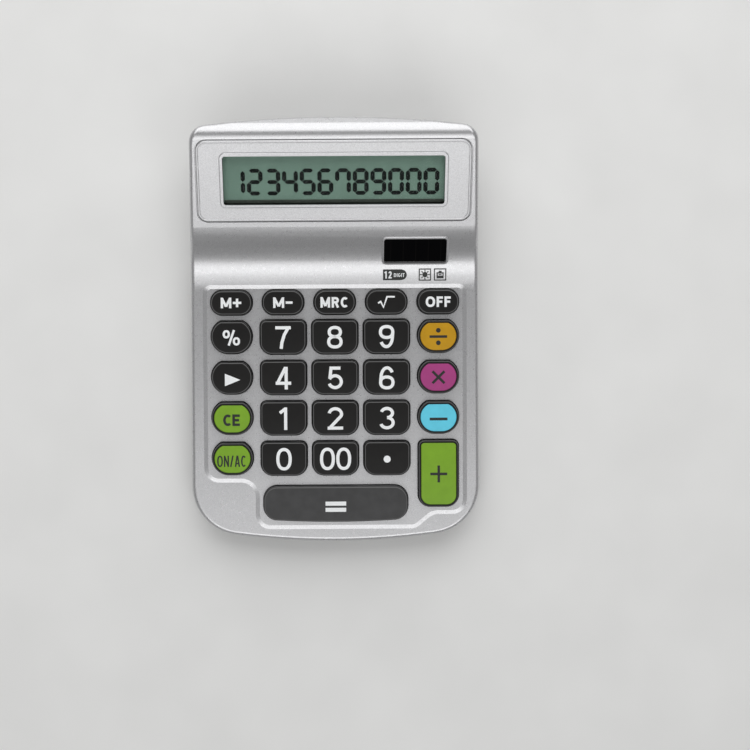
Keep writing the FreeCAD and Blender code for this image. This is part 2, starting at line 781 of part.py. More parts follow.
def sink_panel(plate, top):
    """Sinks the middle of the bezel, which leaves a rounded bead along its edge."""
    panel = sketch_on(plate, "XY_Plane", "bezel_panel", "bezel_seat + bezel_proud")
    half, deep = f"({BEZEL_WIDTH} / 2 - bezel_bead)", "(bezel_depth / 2 - bezel_bead)"
    corner = "(bezel_corner - bezel_bead)"
    short, low = f"({half} - (2 - sqrt(2)) * {corner})", f"({deep} - (2 - sqrt(2)) * {corner})"
    draw_polygon(panel, [
        (half, f"-{low}"), (half, low), (short, deep), (f"-{short}", deep),
        (f"-{half}", low), (f"-{half}", f"-{low}"), (f"-{short}", f"-{deep}"), (short, f"-{deep}"),
    ])
    pocket(plate, panel, "bezel_bead_height")
    across, along = value(half) + 0.01, value(deep) + 0.01

    def inside(edge):
        reach = edge.BoundBox
        return max(-reach.XMin, reach.XMax) < across and max(-reach.YMin, reach.YMax) < along

    round_edges(plate, "bezel_panel_corners", f"0.95 * {corner}", lambda edge: upright(edge) and inside(edge))
    round_edges(plate, "bezel_panel_edge", "bezel_bead_height * 0.9",
                lambda edge: edge.CenterOfMass.z > top - 1e-6 and inside(edge))


def make_bezel():
    """The framed panel round the display window, with a bead at its edge and a raised lip at the window."""
    plate = block_body("display_bezel", DISPLAY, "0", BEZEL_ALONG, "-bezel_seat",
                       BEZEL_WIDTH, "bezel_depth", "bezel_seat + bezel_proud", "bezel_corner")
    top = value("bezel_seat + bezel_proud")
    round_edges(plate, "bezel_edge", "bezel_round", lambda edge: edge.CenterOfMass.z > top - 1e-6)
    sink_panel(plate, top)
    lip = sketch_on(plate, "XY_Plane", "window_lip", "bezel_seat")
    draw_rectangle(lip, "(window_width / 2 + window_lip)", "(window_depth / 2 + window_lip)", "window_rise")
    pad(plate, lip, "bezel_proud + window_lip_height")
    lip_top = top + value("window_lip_height")

    def lip_corner(edge):
        return upright(edge) and edge.CenterOfMass.z > top - 1e-6

    round_edges(plate, "window_lip_corners", "window_corner + window_lip", lip_corner)
    round_edges(plate, "window_lip_edge", "window_lip_height * 0.95",
                lambda edge: edge.CenterOfMass.z > lip_top - 1e-6)
    opening = sketch_on(plate, "XY_Plane", "window_opening")
    draw_rectangle(opening, "(window_width / 2)", "(window_depth / 2)", "window_rise")
    pocket(plate, opening, "3 * wall", both_ways=True)
    edge_of_window = value("window_width") / 2
    round_edges(plate, "window_corners", "window_corner",
                lambda edge: upright(edge) and abs(abs(edge.CenterOfMass.x) - edge_of_window) < 0.01)
    return plate


def lens_size(gap):
    return f"(window_width + 2 * lens_ledge - 2 * {gap})", f"(window_depth + 2 * lens_ledge - 2 * {gap})"


def make_lens():
    """The clear window that lies in the housing under the bezel."""
    width, depth = lens_size("fit_gap")
    return block_body("lcd_window", DISPLAY, "0", WINDOW_ALONG, "-wall", width, depth,
                      "wall - bezel_seat", "window_corner")


def make_lcd():
    """The glass display panel behind the housing's wall."""
    return box("lcd_panel", DISPLAY, "0", WINDOW_ALONG, "-wall - fit_gap - lcd_thickness",
               "lcd_width", "lcd_depth", "lcd_thickness")


HOLDER_UNDERSIDE = "(wall + 2 * fit_gap + lcd_thickness + holder_thickness)"


def make_holder():
    """A frame that holds the display panel from behind, with an ear for a screw at each side."""
    frame = box("holder_plate", DISPLAY, "0", WINDOW_ALONG, f"-{HOLDER_UNDERSIDE}",
                "lcd_width + 2 * holder_rim", "lcd_depth + 2 * holder_rim", "holder_thickness")
    ears = [box("holder_ears", DISPLAY, "0", EAR_ALONG, f"-{HOLDER_UNDERSIDE}",
                f"2 * {EAR_ACROSS}", "2 * small_boss_radius", "holder_thickness")]
    for side in ("-1", "1"):
        ears.append(cylinder("holder_ear_end", DISPLAY, f"{side} * {EAR_ACROSS}", EAR_ALONG,
                             f"-{HOLDER_UNDERSIDE}", "small_boss_radius", "holder_thickness"))
    plate = fuse("holder_blank", [frame] + ears)
    view = box("holder_opening", DISPLAY, "0", WINDOW_ALONG, f"-{HOLDER_UNDERSIDE} - 1",
               "lcd_width + 2 * holder_rim - 2 * holder_band", "lcd_depth + 2 * holder_rim - 2 * holder_band",
               "holder_thickness + 2")
    holes = [cylinder("holder_hole", DISPLAY, f"{side} * {EAR_ACROSS}", EAR_ALONG,
                      f"-{HOLDER_UNDERSIDE} - 1", "small_screw_radius + fit_gap", "holder_thickness + 2")
             for side in ("-1", "1")]
    return cut("lcd_holder", plate, group("holder_cuts", [view] + holes))


def make_ribbon():
    """The flat ribbon from the display panel's back, down to the board's back edge."""
    body = new_body("lcd_ribbon")
    sketch = sketch_on(body, "YZ_Plane", "lcd_ribbon_side")
    back = "-(wall + fit_gap + lcd_thickness + solder_gap)"
    clear = f"-({HOLDER_UNDERSIDE} + ribbon_drop)"
    foot = f"{WINDOW_ALONG} - lcd_depth / 2 - holder_rim + holder_band + ribbon_drop"
    board = f"-{BOARD_TOP} + solder_gap"
    landing = f"{BOARD_BACK} - ribbon_drop"
    outer = [
        spot(DISPLAY, along=f"{foot} + ribbon_bond", above=back),
        spot(DISPLAY, along=foot, above=back),
        spot(DISPLAY, along=foot, above=clear),
        spot(DECK, along=landing, above=f"{board} + ribbon_thickness"),
        spot(DECK, along=f"{landing} - ribbon_bond", above=f"{board} + ribbon_thickness"),
    ]
    inner = [
        spot(DECK, along=f"{landing} - ribbon_bond", above=board),
        spot(DECK, along=f"{landing} + ribbon_thickness", above=board),
        spot(DISPLAY, along=f"{foot} + ribbon_thickness", above=f"{clear} - ribbon_thickness"),
        spot(DISPLAY, along=f"{foot} + ribbon_thickness", above=f"{back} - ribbon_thickness"),
        spot(DISPLAY, along=f"{foot} + ribbon_bond", above=f"{back} - ribbon_thickness"),
    ]
    draw_polygon(sketch, [(y, z) for _, y, z in outer + inner])
    pad(body, sketch, "ribbon_width", both_ways=True)
    return body


# Solar cell, in a frame that touches the hollow of the top where it has the cell's tilt
VALLEY_Y, VALLEY_Z = fold_corner(FOLD_Y, FOLD_Z, "deck_tilt", "wave_tilt", "(-valley_radius)")
SOLAR = (f"({VALLEY_Y} + valley_radius * sin(solar_tilt))",
         f"({VALLEY_Z} - valley_radius * cos(solar_tilt))", "solar_tilt")


def make_solar_cell():
    """The cell's glass, larger than its window and held behind it."""
    return box("solar_cell", SOLAR, "solar_across", "0", "-(solar_sink + solar_thickness)",
               "solar_width + 2 * solar_rim", "solar_depth + 2 * solar_rim", "solar_thickness")


def make_solar_lip():
    """The low frame that stands round the solar window, still without its opening."""
    lip = block_body("solar_lip", SOLAR, "solar_across", "0", "-wall / 2",
                     "solar_width + 2 * solar_lip_width", "solar_depth + 2 * solar_lip_width",
                     "wall / 2 + solar_lip_height", "window_corner + solar_lip_width")
    top = value("wall / 2 + solar_lip_height")
    round_edges(lip, "solar_lip_edge", "solar_lip_width / 2", lambda edge: edge.CenterOfMass.z > top - 1e-6)
    return lip


def make_solar_leads():
    """Two short wires from the back of the solar cell down to the board."""
    leads = []
    for number, side in enumerate(("-1", "1")):
        body = new_body(f"solar_lead_{number}")
        across = f"solar_across + {side} * solar_width / 5"
        path = sketch_on(body, "YZ_Plane", f"solar_lead_{number}_path", across)
        landing = f"{BOARD_BACK} - 2 * lead_diameter"
        points = [
            spot(SOLAR, above="-(solar_sink + solar_thickness + solder_gap)"),
            spot(SOLAR, above="-(solar_sink + solar_thickness + 2 * lead_diameter)"),
            spot(DECK, above=f"-{BOARD_TOP} + 2 * lead_diameter", along=landing),
            spot(DECK, above=f"-{BOARD_TOP} + solder_gap", along=landing),
        ]
        corners = [Vector(value(y), value(z), 0) for _, y, z in points]
        for start, end in zip(corners, corners[1:]):
            path.addGeometry(Part.LineSegment(start, end))
        for joint in (0, 1):
            path.addConstraint(Sketcher.Constraint("Coincident", joint, 2, joint + 1, 1))
        ends = [(0, 1), (1, 1), (2, 1), (2, 2)]
        for (line, end), (_, y, z) in zip(ends, points):
            dimension(path, "DistanceX", (line, end), y)
            dimension(path, "DistanceY", (line, end), z)
        doc.recompute()
        section = body.newObject("Sketcher::SketchObject", f"solar_lead_{number}_section")
        section.AttachmentSupport = [(path, "Edge1")]
        section.MapMode = "NormalToEdge"
        section.MapPathParameter = 0
        section.addGeometry(Part.Circle(Vector(), Vector(0, 0, 1), value("lead_diameter / 2")))
        section.addConstraint(Sketcher.Constraint("Coincident", 0, 3, -1, 1))
        dimension(section, "Radius", (0,), "lead_diameter / 2")
        doc.recompute()
        wire = body.newObject("PartDesign::AdditivePipe", f"solar_lead_{number}_wire")
        wire.Profile = section
        wire.Spine = (path, ["Edge1", "Edge2", "Edge3"])
        wire.Transition = "Round corner"
        doc.recompute()
        leads.append(body)
    return group("solar_leads", leads)


# Board, mat and what is on them, in the deck's frame
def board_outline(body, name, back, lift):
    """The board's plan: square at the back, with both front corners cut off."""
    sketch = sketch_on(body, "XY_Plane", name, lift)
    draw_polygon(sketch, [
        (BOARD_SIDE, back),
        (f"-{BOARD_SIDE}", back),
        (f"-{BOARD_SIDE}", f"{BOARD_FRONT} + board_chamfer"),
        (f"-({BOARD_SIDE} - board_chamfer)", BOARD_FRONT),
        (f"{BOARD_SIDE} - board_chamfer", BOARD_FRONT),
        (BOARD_SIDE, f"{BOARD_FRONT} + board_chamfer"),
    ])
    return sketch


def make_board():
    """The printed circuit board, with a hole for each of its screws."""
    body = new_body("board_blank")
    pad(body, board_outline(body, "board_plan", BOARD_BACK, f"-{BOARD_UNDERSIDE}"), "board_thickness")
    place(body, DECK)
    holes = [cylinder("board_hole", DECK, f"{side} * board_screw_across", BOARD_SCREW_ALONG,
                      f"-{BOARD_UNDERSIDE} - 1", "small_screw_radius + fit_gap", "board_thickness + 2")
             for side in ("-1", "1")]
    return cut("main_board", body, group("board_holes", holes))


def make_mat():
    """The silicone mat: a sheet on the board with a hollow dome under each key."""
    sheet_body = new_body("mat_sheet")
    pad(sheet_body, board_outline(sheet_body, "mat_plan", MAT_BACK, f"-{BOARD_TOP}"), "mat_thickness")
    place(sheet_body, DECK)
    domes, hollows = [], []
    for name, _, across, along, *_ in KEYS:
        domes.append(cone(f"dome_{name}", DECK, across, along, f"-{BOARD_TOP}", "dome_radius",
                          "dome_top_radius", f"{BOARD_TOP} - {KEY_FOOT} - dome_gap"))
        hollows.append(cone(f"hollow_{name}", DECK, across, along, f"-{BOARD_TOP} - fit_gap",
                            "dome_radius - dome_wall", "dome_top_radius - dome_wall",
                            f"{BOARD_TOP} - {PILL_TOP} + fit_gap"))
    return cut("keypad_mat", fuse("mat_domes", [sheet_body] + domes), group("mat_hollows", hollows))


def make_contact_pills():
    """A carbon pill under the roof of each dome."""
    return group("contact_pills", [
        cylinder(f"pill_{name}", DECK, across, along, f"-({PILL_TOP} + pill_thickness)",
                 "pill_radius", "pill_thickness")
        for name, _, across, along, *_ in KEYS
    ])


def make_processor():
    """The chip under its drop of epoxy, on the board's underside."""
    drop = doc.addObject("Part::Sphere", "processor")
    bind(drop, "Radius", "processor_radius")
    bind(drop, "Angle2", "-processor_cut_angle")
    place(drop, DECK, "column_pitch / 2", digit_row(1),
          f"-{BOARD_UNDERSIDE} + processor_radius * sin(processor_cut_angle)")
    return drop


def make_capacitor():
    """The smoothing capacitor, lying on the board's back strip."""
    can = doc.addObject("Part::Cylinder", "capacitor")
    bind(can, "Radius", "capacitor_radius")
    bind(can, "Height", "capacitor_length")
    for axis, words in zip("xyz", spot(DECK, "-1.5 * column_pitch", BOARD_SCREW_ALONG,
                                       f"-{BOARD_TOP} + capacitor_radius + solder_gap")):
        bind(can, f"Placement.Base.{axis}", words)
    can.Placement.Rotation = FreeCAD.Rotation(Vector(0, 1, 0), 90)
    return can


# Screws: where each stands, in the base's or the tail's frame
FRONT_SCREW = (BASE, f"{BODY_SIDE} - front_screw_side", f"{FRONT} + front_screw_inset")
MIDDLE_SCREW = (BASE, f"{BODY_SIDE} - screw_wall_gap", f"{FOLD_Y} - middle_screw_drop")
BACK_SCREW = (TAIL, f"{BODY_SIDE} - screw_wall_gap - {CREST_Z} * tan(draft) / 2", "back_screw_run")
HEAD_SEAT = "(screw_sink + screw_head_height)"
BOSS_MEET = f"({HEAD_SEAT} + screw_seat)"


def screw_sites():
    """Frame, place across and place along of each housing screw."""
    return [(frame, f"{side} * ({across})", along)
            for frame, across, along in (FRONT_SCREW, MIDDLE_SCREW, BACK_SCREW)
            for side in ("-1", "1")]


def screw(label, frame, across, along, seat, head_radius, head_height, radius, length):
    """A pan-head screw with a crossed slot, its head below the seat and its shank above."""
    head = cylinder(f"{label}_head", frame, across, along, f"{seat} - {head_height}", head_radius, head_height)
    shank = cylinder(f"{label}_shank", frame, across, along, f"{seat} - {head_height}",
                     radius, f"{head_height} + {length}")
    whole = fuse(f"{label}_whole", [head, shank])
    bottom = f"{seat} - {head_height} - slot_depth"
    reach = f"1.2 * {head_radius}"
    slots = [box(f"{label}_slot", frame, across, along, bottom, reach, "slot_width", "2 * slot_depth"),
             box(f"{label}_slot", frame, across, along, bottom, "slot_width", reach, "2 * slot_depth")]
    return cut(f"{label}_screw", whole, fuse(f"{label}_slots", slots))


def make_housing_screws():
    """Six screws from below that hold the two housings together."""
    return group("housing_screws", [
        screw(f"housing_{number}", frame, across, along, HEAD_SEAT,
              "screw_head_radius", "screw_head_height", "screw_radius", "screw_length")
        for number, (frame, across, along) in enumerate(screw_sites())
    ])


def small_screw_sites():
    """Frame, place, seat, boss depth and length of the board's and the display holder's screws."""
    sites = []
    for side in ("-1", "1"):
        sites.append((DECK, f"{side} * board_screw_across", BOARD_SCREW_ALONG, f"-{BOARD_UNDERSIDE}",
                      BOARD_TOP, "board_thickness + board_screw_grip"))
        sites.append((DISPLAY, f"{side} * {EAR_ACROSS}", EAR_ALONG, f"-{HOLDER_UNDERSIDE}",
                      f"({HOLDER_UNDERSIDE} - holder_thickness)", "holder_thickness + holder_screw_grip"))
    return sites


def make_small_screws():
    """Four small screws with equal heads: two hold the board, two the display holder."""
    return group("small_screws", [
        screw(f"small_{number}", frame, across, along, seat, "small_screw_head_radius",
              "small_screw_head_height", "small_screw_radius", length)
        for number, (frame, across, along, seat, _, length) in enumerate(small_screw_sites())
    ])


# Battery, in the base's frame
CELL_ALONG = f"({TAIL_Y} - cell_back_inset)"
CELL_FLOOR = "door_thickness"
WELL_SIDE = "(2 * cell_radius + 2 * cell_gap)"
WELL_TOP = f"({CELL_FLOOR} + cell_height + fit_gap)"
DOOR_WIDTH = f"({WELL_SIDE} + 2 * door_margin)"


def make_cell():
    """The button cell, lying on the door."""
    return cylinder("button_cell", BASE, "cell_across", CELL_ALONG, f"{CELL_FLOOR} + fit_gap / 2",
                    "cell_radius", "cell_height")


def make_door():
    """The battery door: a flush plate with four clips that reach into the well's corners."""
    plate = block_body("door_plate", BASE, "cell_across", CELL_ALONG, "0",
                       f"{DOOR_WIDTH} - 2 * door_gap", f"{DOOR_WIDTH} - 2 * door_gap",
                       f"{CELL_FLOOR} - fit_gap / 2", "door_margin - door_gap")
    reach = f"({WELL_SIDE} / 2 - door_gap - clip_size / 2)"
    clips = [box("door_clip", BASE, f"cell_across + {side} * {reach}", f"{CELL_ALONG} + {end} * {reach}",
                 f"{CELL_FLOOR} - door_gap", "clip_size", "clip_size", "clip_height + door_gap")
             for side in ("-1", "1") for end in ("-1", "1")]
    grips = [box("door_grip", BASE, "cell_across",
                 f"{CELL_ALONG} - {DOOR_WIDTH} / 4 + {number} * 2 * slot_width", "-slot_width",
                 "contact_width * 1.5", "slot_width", "1.6 * slot_width") for number in range(3)]
    return cut("battery_door", fuse("door_blank", [plate] + clips), group("door_grips", grips))


def make_cell_contacts():
    """A leaf that lies on the well across the top of the cell, and a strip at the cell's side."""
    leaf = box("battery_top_contact", BASE, "cell_across", CELL_ALONG, f"{WELL_TOP} + solder_gap",
               f"{WELL_SIDE} + 2 * well_wall", "contact_width", "contact_thickness")
    strip = box("battery_side_contact", BASE, "cell_across",
                f"{CELL_ALONG} + cell_radius + cell_gap / 2", f"{CELL_FLOOR} + door_gap",
                "contact_width", "cell_gap / 2", f"{WELL_TOP} - {CELL_FLOOR} - door_gap")
    return leaf, strip


def make_cell_leads():
    """A short upright wire from each contact to the board's underside."""
    lead_feet = (
        (f"cell_across + {WELL_SIDE} / 2", CELL_ALONG, f"({WELL_TOP} + contact_thickness + 2 * solder_gap)"),
        ("cell_across", f"{CELL_ALONG} + cell_radius + cell_gap / 2", f"({WELL_TOP} + solder_gap)"),
    )
    leads = []
    for number, (across, along, low) in enumerate(lead_feet):
        deck_level = f"{FOLD_Z} - ({FOLD_Y} - ({along})) * tan(deck_tilt) - foot_height"
        board_level = f"{deck_level} - {BOARD_UNDERSIDE} / cos(deck_tilt) - lead_diameter * tan(deck_tilt)"
        leads.append(cylinder(f"battery_lead_{number}", BASE, across, along, low,
                              "lead_diameter / 2", f"{board_level} - {low}"))
    return group("battery_leads", leads)


# Feet
FOOT_SITES = [(f"{side} * foot_across", along) for side in ("-1", "1")
              for along in (f"{FRONT} + foot_front_inset", f"{TAIL_Y} - foot_back_inset")]


def foot_set(label, grow, lift):
    return group(label, [cylinder(f"{label}_disc", BASE, across, along, "-foot_height",
                                  f"foot_radius + {grow}", f"foot_height + foot_sink + {lift}")
                         for across, along in FOOT_SITES])


# Housings
def make_upper_housing(outline, inner_outline, rebate_outline):
    """The painted upper shell, with everything that is let into it or stands inside it."""
    solid = common("upper_solid", slab("upper_slab", base_line("parting_height"), top_line("0"), top_rounds("0")),
                   outline)
    solid = round_rim("upper_rounded", solid, "edge_round", 1)
    inner = slab("upper_inner_slab", base_line("0"), top_line("wall"), top_rounds("wall"))
    shell = cut("upper_shell", solid, common("upper_hollow", inner, inner_outline))

    bosses = [cylinder("screw_boss", frame, across, along, BOSS_MEET, "boss_radius", f"{CREST_Z}")
              for frame, across, along in screw_sites()]
    for frame, across, along, _, level, _ in small_screw_sites():
        bosses.append(cylinder("small_boss", frame, across, along, f"-{level}", "small_boss_radius", level))
    envelope = common("boss_envelope", slab("boss_slab", base_line("0"), top_line("wall / 2"), []), inner_outline)
    stems = common("boss_stems", fuse("boss_set", bosses), envelope)
    shell = fuse("upper_with_bosses", [shell, stems])

    pilots = [cylinder("pilot", frame, across, along, HEAD_SEAT, "screw_radius + thread_gap",
                       "screw_length + thread_gap") for frame, across, along in screw_sites()]
    for frame, across, along, seat, _, length in small_screw_sites():
        pilots.append(cylinder("small_pilot", frame, across, along, seat, "small_screw_radius + thread_gap",
                               f"{length} + thread_gap"))
    shell = cut("upper_drilled", shell, group("pilots", pilots))

    groove = slab("rebate_slab", base_line("parting_height - lip_gap"),
                  base_line("parting_height + lip_height + lip_gap")[::-1], [])
    rebate = cut("rebate", common("rebate_block", groove, rebate_outline),
                 common("rebate_core", groove, inner_outline))
    shell = cut("upper_rebated", shell, rebate)

    shell = fuse("upper_raised", [shell, make_plateau()])
    shell = cut("upper_holed", shell, make_key_holes())
    seat = block_body("bezel_seat_cut", DISPLAY, "0", BEZEL_ALONG, "-bezel_seat",
                      f"{BEZEL_WIDTH} + 2 * bezel_gap", "bezel_depth + 2 * bezel_gap",
                      "bezel_seat + bezel_to_crest", "bezel_corner + bezel_gap")
    width, depth = lens_size("0")
    view = block_body("lens_opening", DISPLAY, "0", WINDOW_ALONG, "-2 * wall", width, depth,
                      "2 * wall", "window_corner + fit_gap")
    shell = fuse("upper_lipped", [cut("upper_seated", shell, seat), make_solar_lip()])
    window = block_body("solar_window", SOLAR, "solar_across", "0", "-2 * wall",
                        "solar_width", "solar_depth", "4 * wall", "window_corner")
    pocket_block = box("solar_pocket", SOLAR, "solar_across", "0", "-(solar_sink + 3 * wall)",
                       "solar_width + 2 * solar_rim + 2 * solar_gap",
                       "solar_depth + 2 * solar_rim + 2 * solar_gap", "3 * wall")
    shell = cut("upper_windowed", shell, group("window_cuts", [view, window]))
    return cut("upper_housing", shell, pocket_block)


def make_lower_housing(outline, inner_outline, lip_outline):
    """The lower shell: floor, rising tail, screw pillars, board posts, battery well and lip."""
    low = base_line("0")
    solid = common("lower_solid", slab("lower_slab", low, base_line("parting_height")[::-1],
                                       [("tail", "tail_radius", low[1])]), outline)
    solid = round_rim("lower_rounded", solid, "base_round", -1)
    inner = slab("lower_inner_slab", base_line("floor_wall"), base_line("2 * parting_height")[::-1], [])
    shell = cut("lower_shell", solid, common("lower_hollow", inner, inner_outline))

    band = slab("lip_slab", base_line("parting_height - lip_height"),
                base_line("parting_height + lip_height")[::-1], [])
    lip = cut("lip", common("lip_block", band, lip_outline), common("lip_core", band, inner_outline))

    pillars = [cylinder("screw_pillar", frame, across, along, "screw_sink",
                        "screw_head_radius + well_wall", f"{BOSS_MEET} - lip_gap - screw_sink")
               for frame, across, along in screw_sites()]
    keep = common("pillar_core", fuse("pillar_set", pillars),
                  common("pillar_room", slab("pillar_slab", base_line("floor_wall / 2"),
                                             base_line("2 * parting_height")[::-1], []), inner_outline))
    posts = [cylinder("board_post", BASE, f"{side} * foot_across", along, "floor_wall / 2",
                      "post_radius", FOLD_Z)
             for side in ("-1", "1")
             for along in (f"{FRONT} + foot_front_inset", f"{TAIL_Y} - foot_back_inset",
                           f"({FRONT} + {TAIL_Y} + foot_front_inset - foot_back_inset) / 2")]
    above_board = box("above_board", DECK, "0", f"-{BODY_DEPTH} / 2", f"-({BOARD_UNDERSIDE} + post_gap)",
                      f"2 * {BODY_SIDE}", f"2 * {BODY_DEPTH}", FOLD_Z)
    stands = cut("board_posts", fuse("post_set", posts), above_board)
    well = box("battery_well", BASE, "cell_across", CELL_ALONG, "floor_wall / 2",
               f"{WELL_SIDE} + 2 * well_wall", f"{WELL_SIDE} + 2 * well_wall", f"{WELL_TOP} - floor_wall / 2")
    shell = fuse("lower_fitted", [shell, lip, keep, stands, well])

    drills = []
    for frame, across, along in screw_sites():
        drills.append(cylinder("screw_counterbore", frame, across, along, "-2 * screw_head_height",
                               "screw_head_radius + door_gap", f"{HEAD_SEAT} + 2 * screw_head_height"))
        drills.append(cylinder("screw_hole", frame, across, along, "0",
                               "screw_radius + lip_gap", f"{BOSS_MEET} + 1"))
    opening = box("well_opening", BASE, "cell_across", CELL_ALONG, "-1", WELL_SIDE, WELL_SIDE, f"{WELL_TOP} + 2")
    recess = block_body("door_recess", BASE, "cell_across", CELL_ALONG, "-1", DOOR_WIDTH, DOOR_WIDTH,
                        f"{CELL_FLOOR} + 1", "door_margin")
    shell = cut("lower_drilled", shell, fuse("drill_set", drills))
    shell = cut("lower_opened", shell, fuse("door_opening", [opening, recess]))
    return cut("lower_housing", shell, foot_set("foot_recesses", "foot_gap", "foot_gap / 2"))


def check_and_write(pieces):
    """Stops on any failed object, then writes each piece's solids under its label."""
    doc.recompute()
    for thing in doc.Objects:
        if "Invalid" in thing.State or "Error" in thing.State:
            raise RuntimeError(f"{thing.Name}: {thing.State}")
    for piece in pieces:
        if piece.Shape.isNull() or not piece.Shape.isValid() or not piece.Shape.Solids:
            raise RuntimeError(f"{piece.Label} has no valid shape")
    os.makedirs("parts", exist_ok=True)
    for piece in pieces:
        piece.Shape.exportStep(f"parts/{piece.Label}.step")
        solids = len(piece.Shape.Solids)
        print(f"{piece.Label}: {solids} solid{'s' if solids > 1 else ''}, {piece.Shape.Volume:.1f} mm3")


def main():
    outline = drafted_outline("plan_outer", "0")
    inner_outline = drafted_outline("plan_inner", "wall")
    rebate_outline = drafted_outline("plan_rebate", "wall / 2")
    lip_outline = drafted_outline("plan_lip", "(wall / 2 + lip_gap)")
    leaf, strip = make_cell_contacts()
    pieces = [
        make_upper_housing(outline, inner_outline, rebate_outline),
        make_lower_housing(outline, inner_outline, lip_outline),
        make_bezel(),
        make_lens(),
        make_lcd(),
        make_holder(),
        make_ribbon(),
        make_solar_cell(),
        make_solar_leads(),
        make_board(),
        make_processor(),
        make_capacitor(),
        make_mat(),
        make_contact_pills(),
        make_cell(),
        leaf,
        strip,
        make_cell_leads(),
        make_door(),
        foot_set("rubber_feet", "0", "0"),
        make_housing_screws(),
        make_small_screws(),
    ]
    pieces += make_keys()
    check_and_write(pieces)


main()
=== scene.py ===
# %% [markdown]
# # A silver desk calculator
#
# The CAD model already has the real shapes: the shell with its wave, the keys, the framed display and
# the solar cell. What it lacks is everything that is paint, print or glass. This lesson adds that:
# metallic paint with fine flake, printed legends that follow the keys, a display that shows digits,
# and light that brings out the curve of the shell.

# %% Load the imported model
import json
import math

import bpy
import numpy as np
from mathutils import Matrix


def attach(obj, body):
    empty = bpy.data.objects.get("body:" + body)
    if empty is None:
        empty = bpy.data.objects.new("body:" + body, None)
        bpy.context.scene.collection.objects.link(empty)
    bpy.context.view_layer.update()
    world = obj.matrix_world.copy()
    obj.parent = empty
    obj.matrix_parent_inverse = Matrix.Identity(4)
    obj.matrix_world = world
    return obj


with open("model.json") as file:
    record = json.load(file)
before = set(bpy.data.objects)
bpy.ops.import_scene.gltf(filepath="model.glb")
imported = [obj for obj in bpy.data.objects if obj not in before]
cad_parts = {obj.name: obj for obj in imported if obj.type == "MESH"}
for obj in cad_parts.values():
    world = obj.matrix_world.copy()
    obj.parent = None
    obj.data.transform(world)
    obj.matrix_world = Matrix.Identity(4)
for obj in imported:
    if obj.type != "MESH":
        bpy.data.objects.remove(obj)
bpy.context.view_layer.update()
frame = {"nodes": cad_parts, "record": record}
nodes = frame["nodes"]

# %% [markdown]
# ## Where things are
#
# Printed marks have to lie on the surfaces that carry them. Seen from the side, the shell's top is a
# nearly flat deck, an arc, and a steep step up to the display, so its height is a formula of the
# distance from front to back. The deck and the display each get a tilted frame: u runs to the right,
# v up the slope and n out of the surface. Sizes are in millimetres until a mesh is made.

# %% Tilted frames of the shell
MM = 0.001
FOLD_Y, FOLD_Z = 22.61, 15.906
BROW_Y, BROW_Z = 32.81, 24.465
DECK_TILT, STEP_TILT, DISPLAY_TILT = math.radians(3), math.radians(40), math.radians(27)
VALLEY_RADIUS = 24.0


def tilted(start_y, start_z, tilt, u, v, n):
    """Points of a frame that is turned by tilt about the X axis through (start_y, start_z)."""
    u, v, n = np.broadcast_arrays(u, v, n)
    y = start_y + v * math.cos(tilt) - n * math.sin(tilt)
    z = start_z + v * math.sin(tilt) + n * math.cos(tilt)
    return np.stack([u, y, z], axis=-1)


def on_deck(u, v, n):
    """Points on or above the flat deck that holds the keys."""
    return tilted(FOLD_Y, FOLD_Z, DECK_TILT, u, v, n)


def on_display(u, v, n):
    """Points on or above the sloping display."""
    return tilted(BROW_Y, BROW_Z, DISPLAY_TILT, u, v, n)


def on_valley(x, y, lift):
    """Points on the hollow arc between deck and step.

    The arc's centre lies on the line that halves the angle between both slopes. Its height there is
    the centre's height less the root of radius squared minus the distance squared.
    """
    mean, half_turn = (DECK_TILT + STEP_TILT) / 2, (STEP_TILT - DECK_TILT) / 2
    centre_y = FOLD_Y - VALLEY_RADIUS * math.sin(mean) / math.cos(half_turn)
    centre_z = FOLD_Z + VALLEY_RADIUS * math.cos(mean) / math.cos(half_turn)
    x, y = np.broadcast_arrays(x, y)
    z = centre_z - np.sqrt(VALLEY_RADIUS ** 2 - (y - centre_y) ** 2)
    return np.stack([x, y, z + lift], axis=-1)


print("display starts", BROW_Z, "mm above the desk")

# %% [markdown]
# ## Flat shapes for printing
#
# Every printed mark is a thin layer of ink. Rather than paint it in a texture, each mark is cut out as
# a small flat mesh and laid on its surface, so its edges stay sharp at any distance. A flat shape here
# is a pair: an array of points, and a list of faces that index it.

# %% Bars, discs and strokes
SHORT_RUN, SHARPEST_BEND = 0.6, 0.5


def bar(centre_x, centre_y, width, height, turn=0.0):
    """A rectangle, turned about its centre: a line of the height's thickness and the width's length."""
    half = np.array([math.cos(turn), math.sin(turn)]) * width / 2
    centre = np.array([centre_x, centre_y])
    return stroke([centre - half, centre + half], height)


def disc(centre_x, centre_y, radius, sides=48):
    """A round dot: points at equal angles on a circle."""
    angle = np.linspace(0, 2 * math.pi, sides, endpoint=False)
    ring = np.stack([np.cos(angle), np.sin(angle)], axis=-1) * radius
    return ring + [centre_x, centre_y], [tuple(range(sides))]


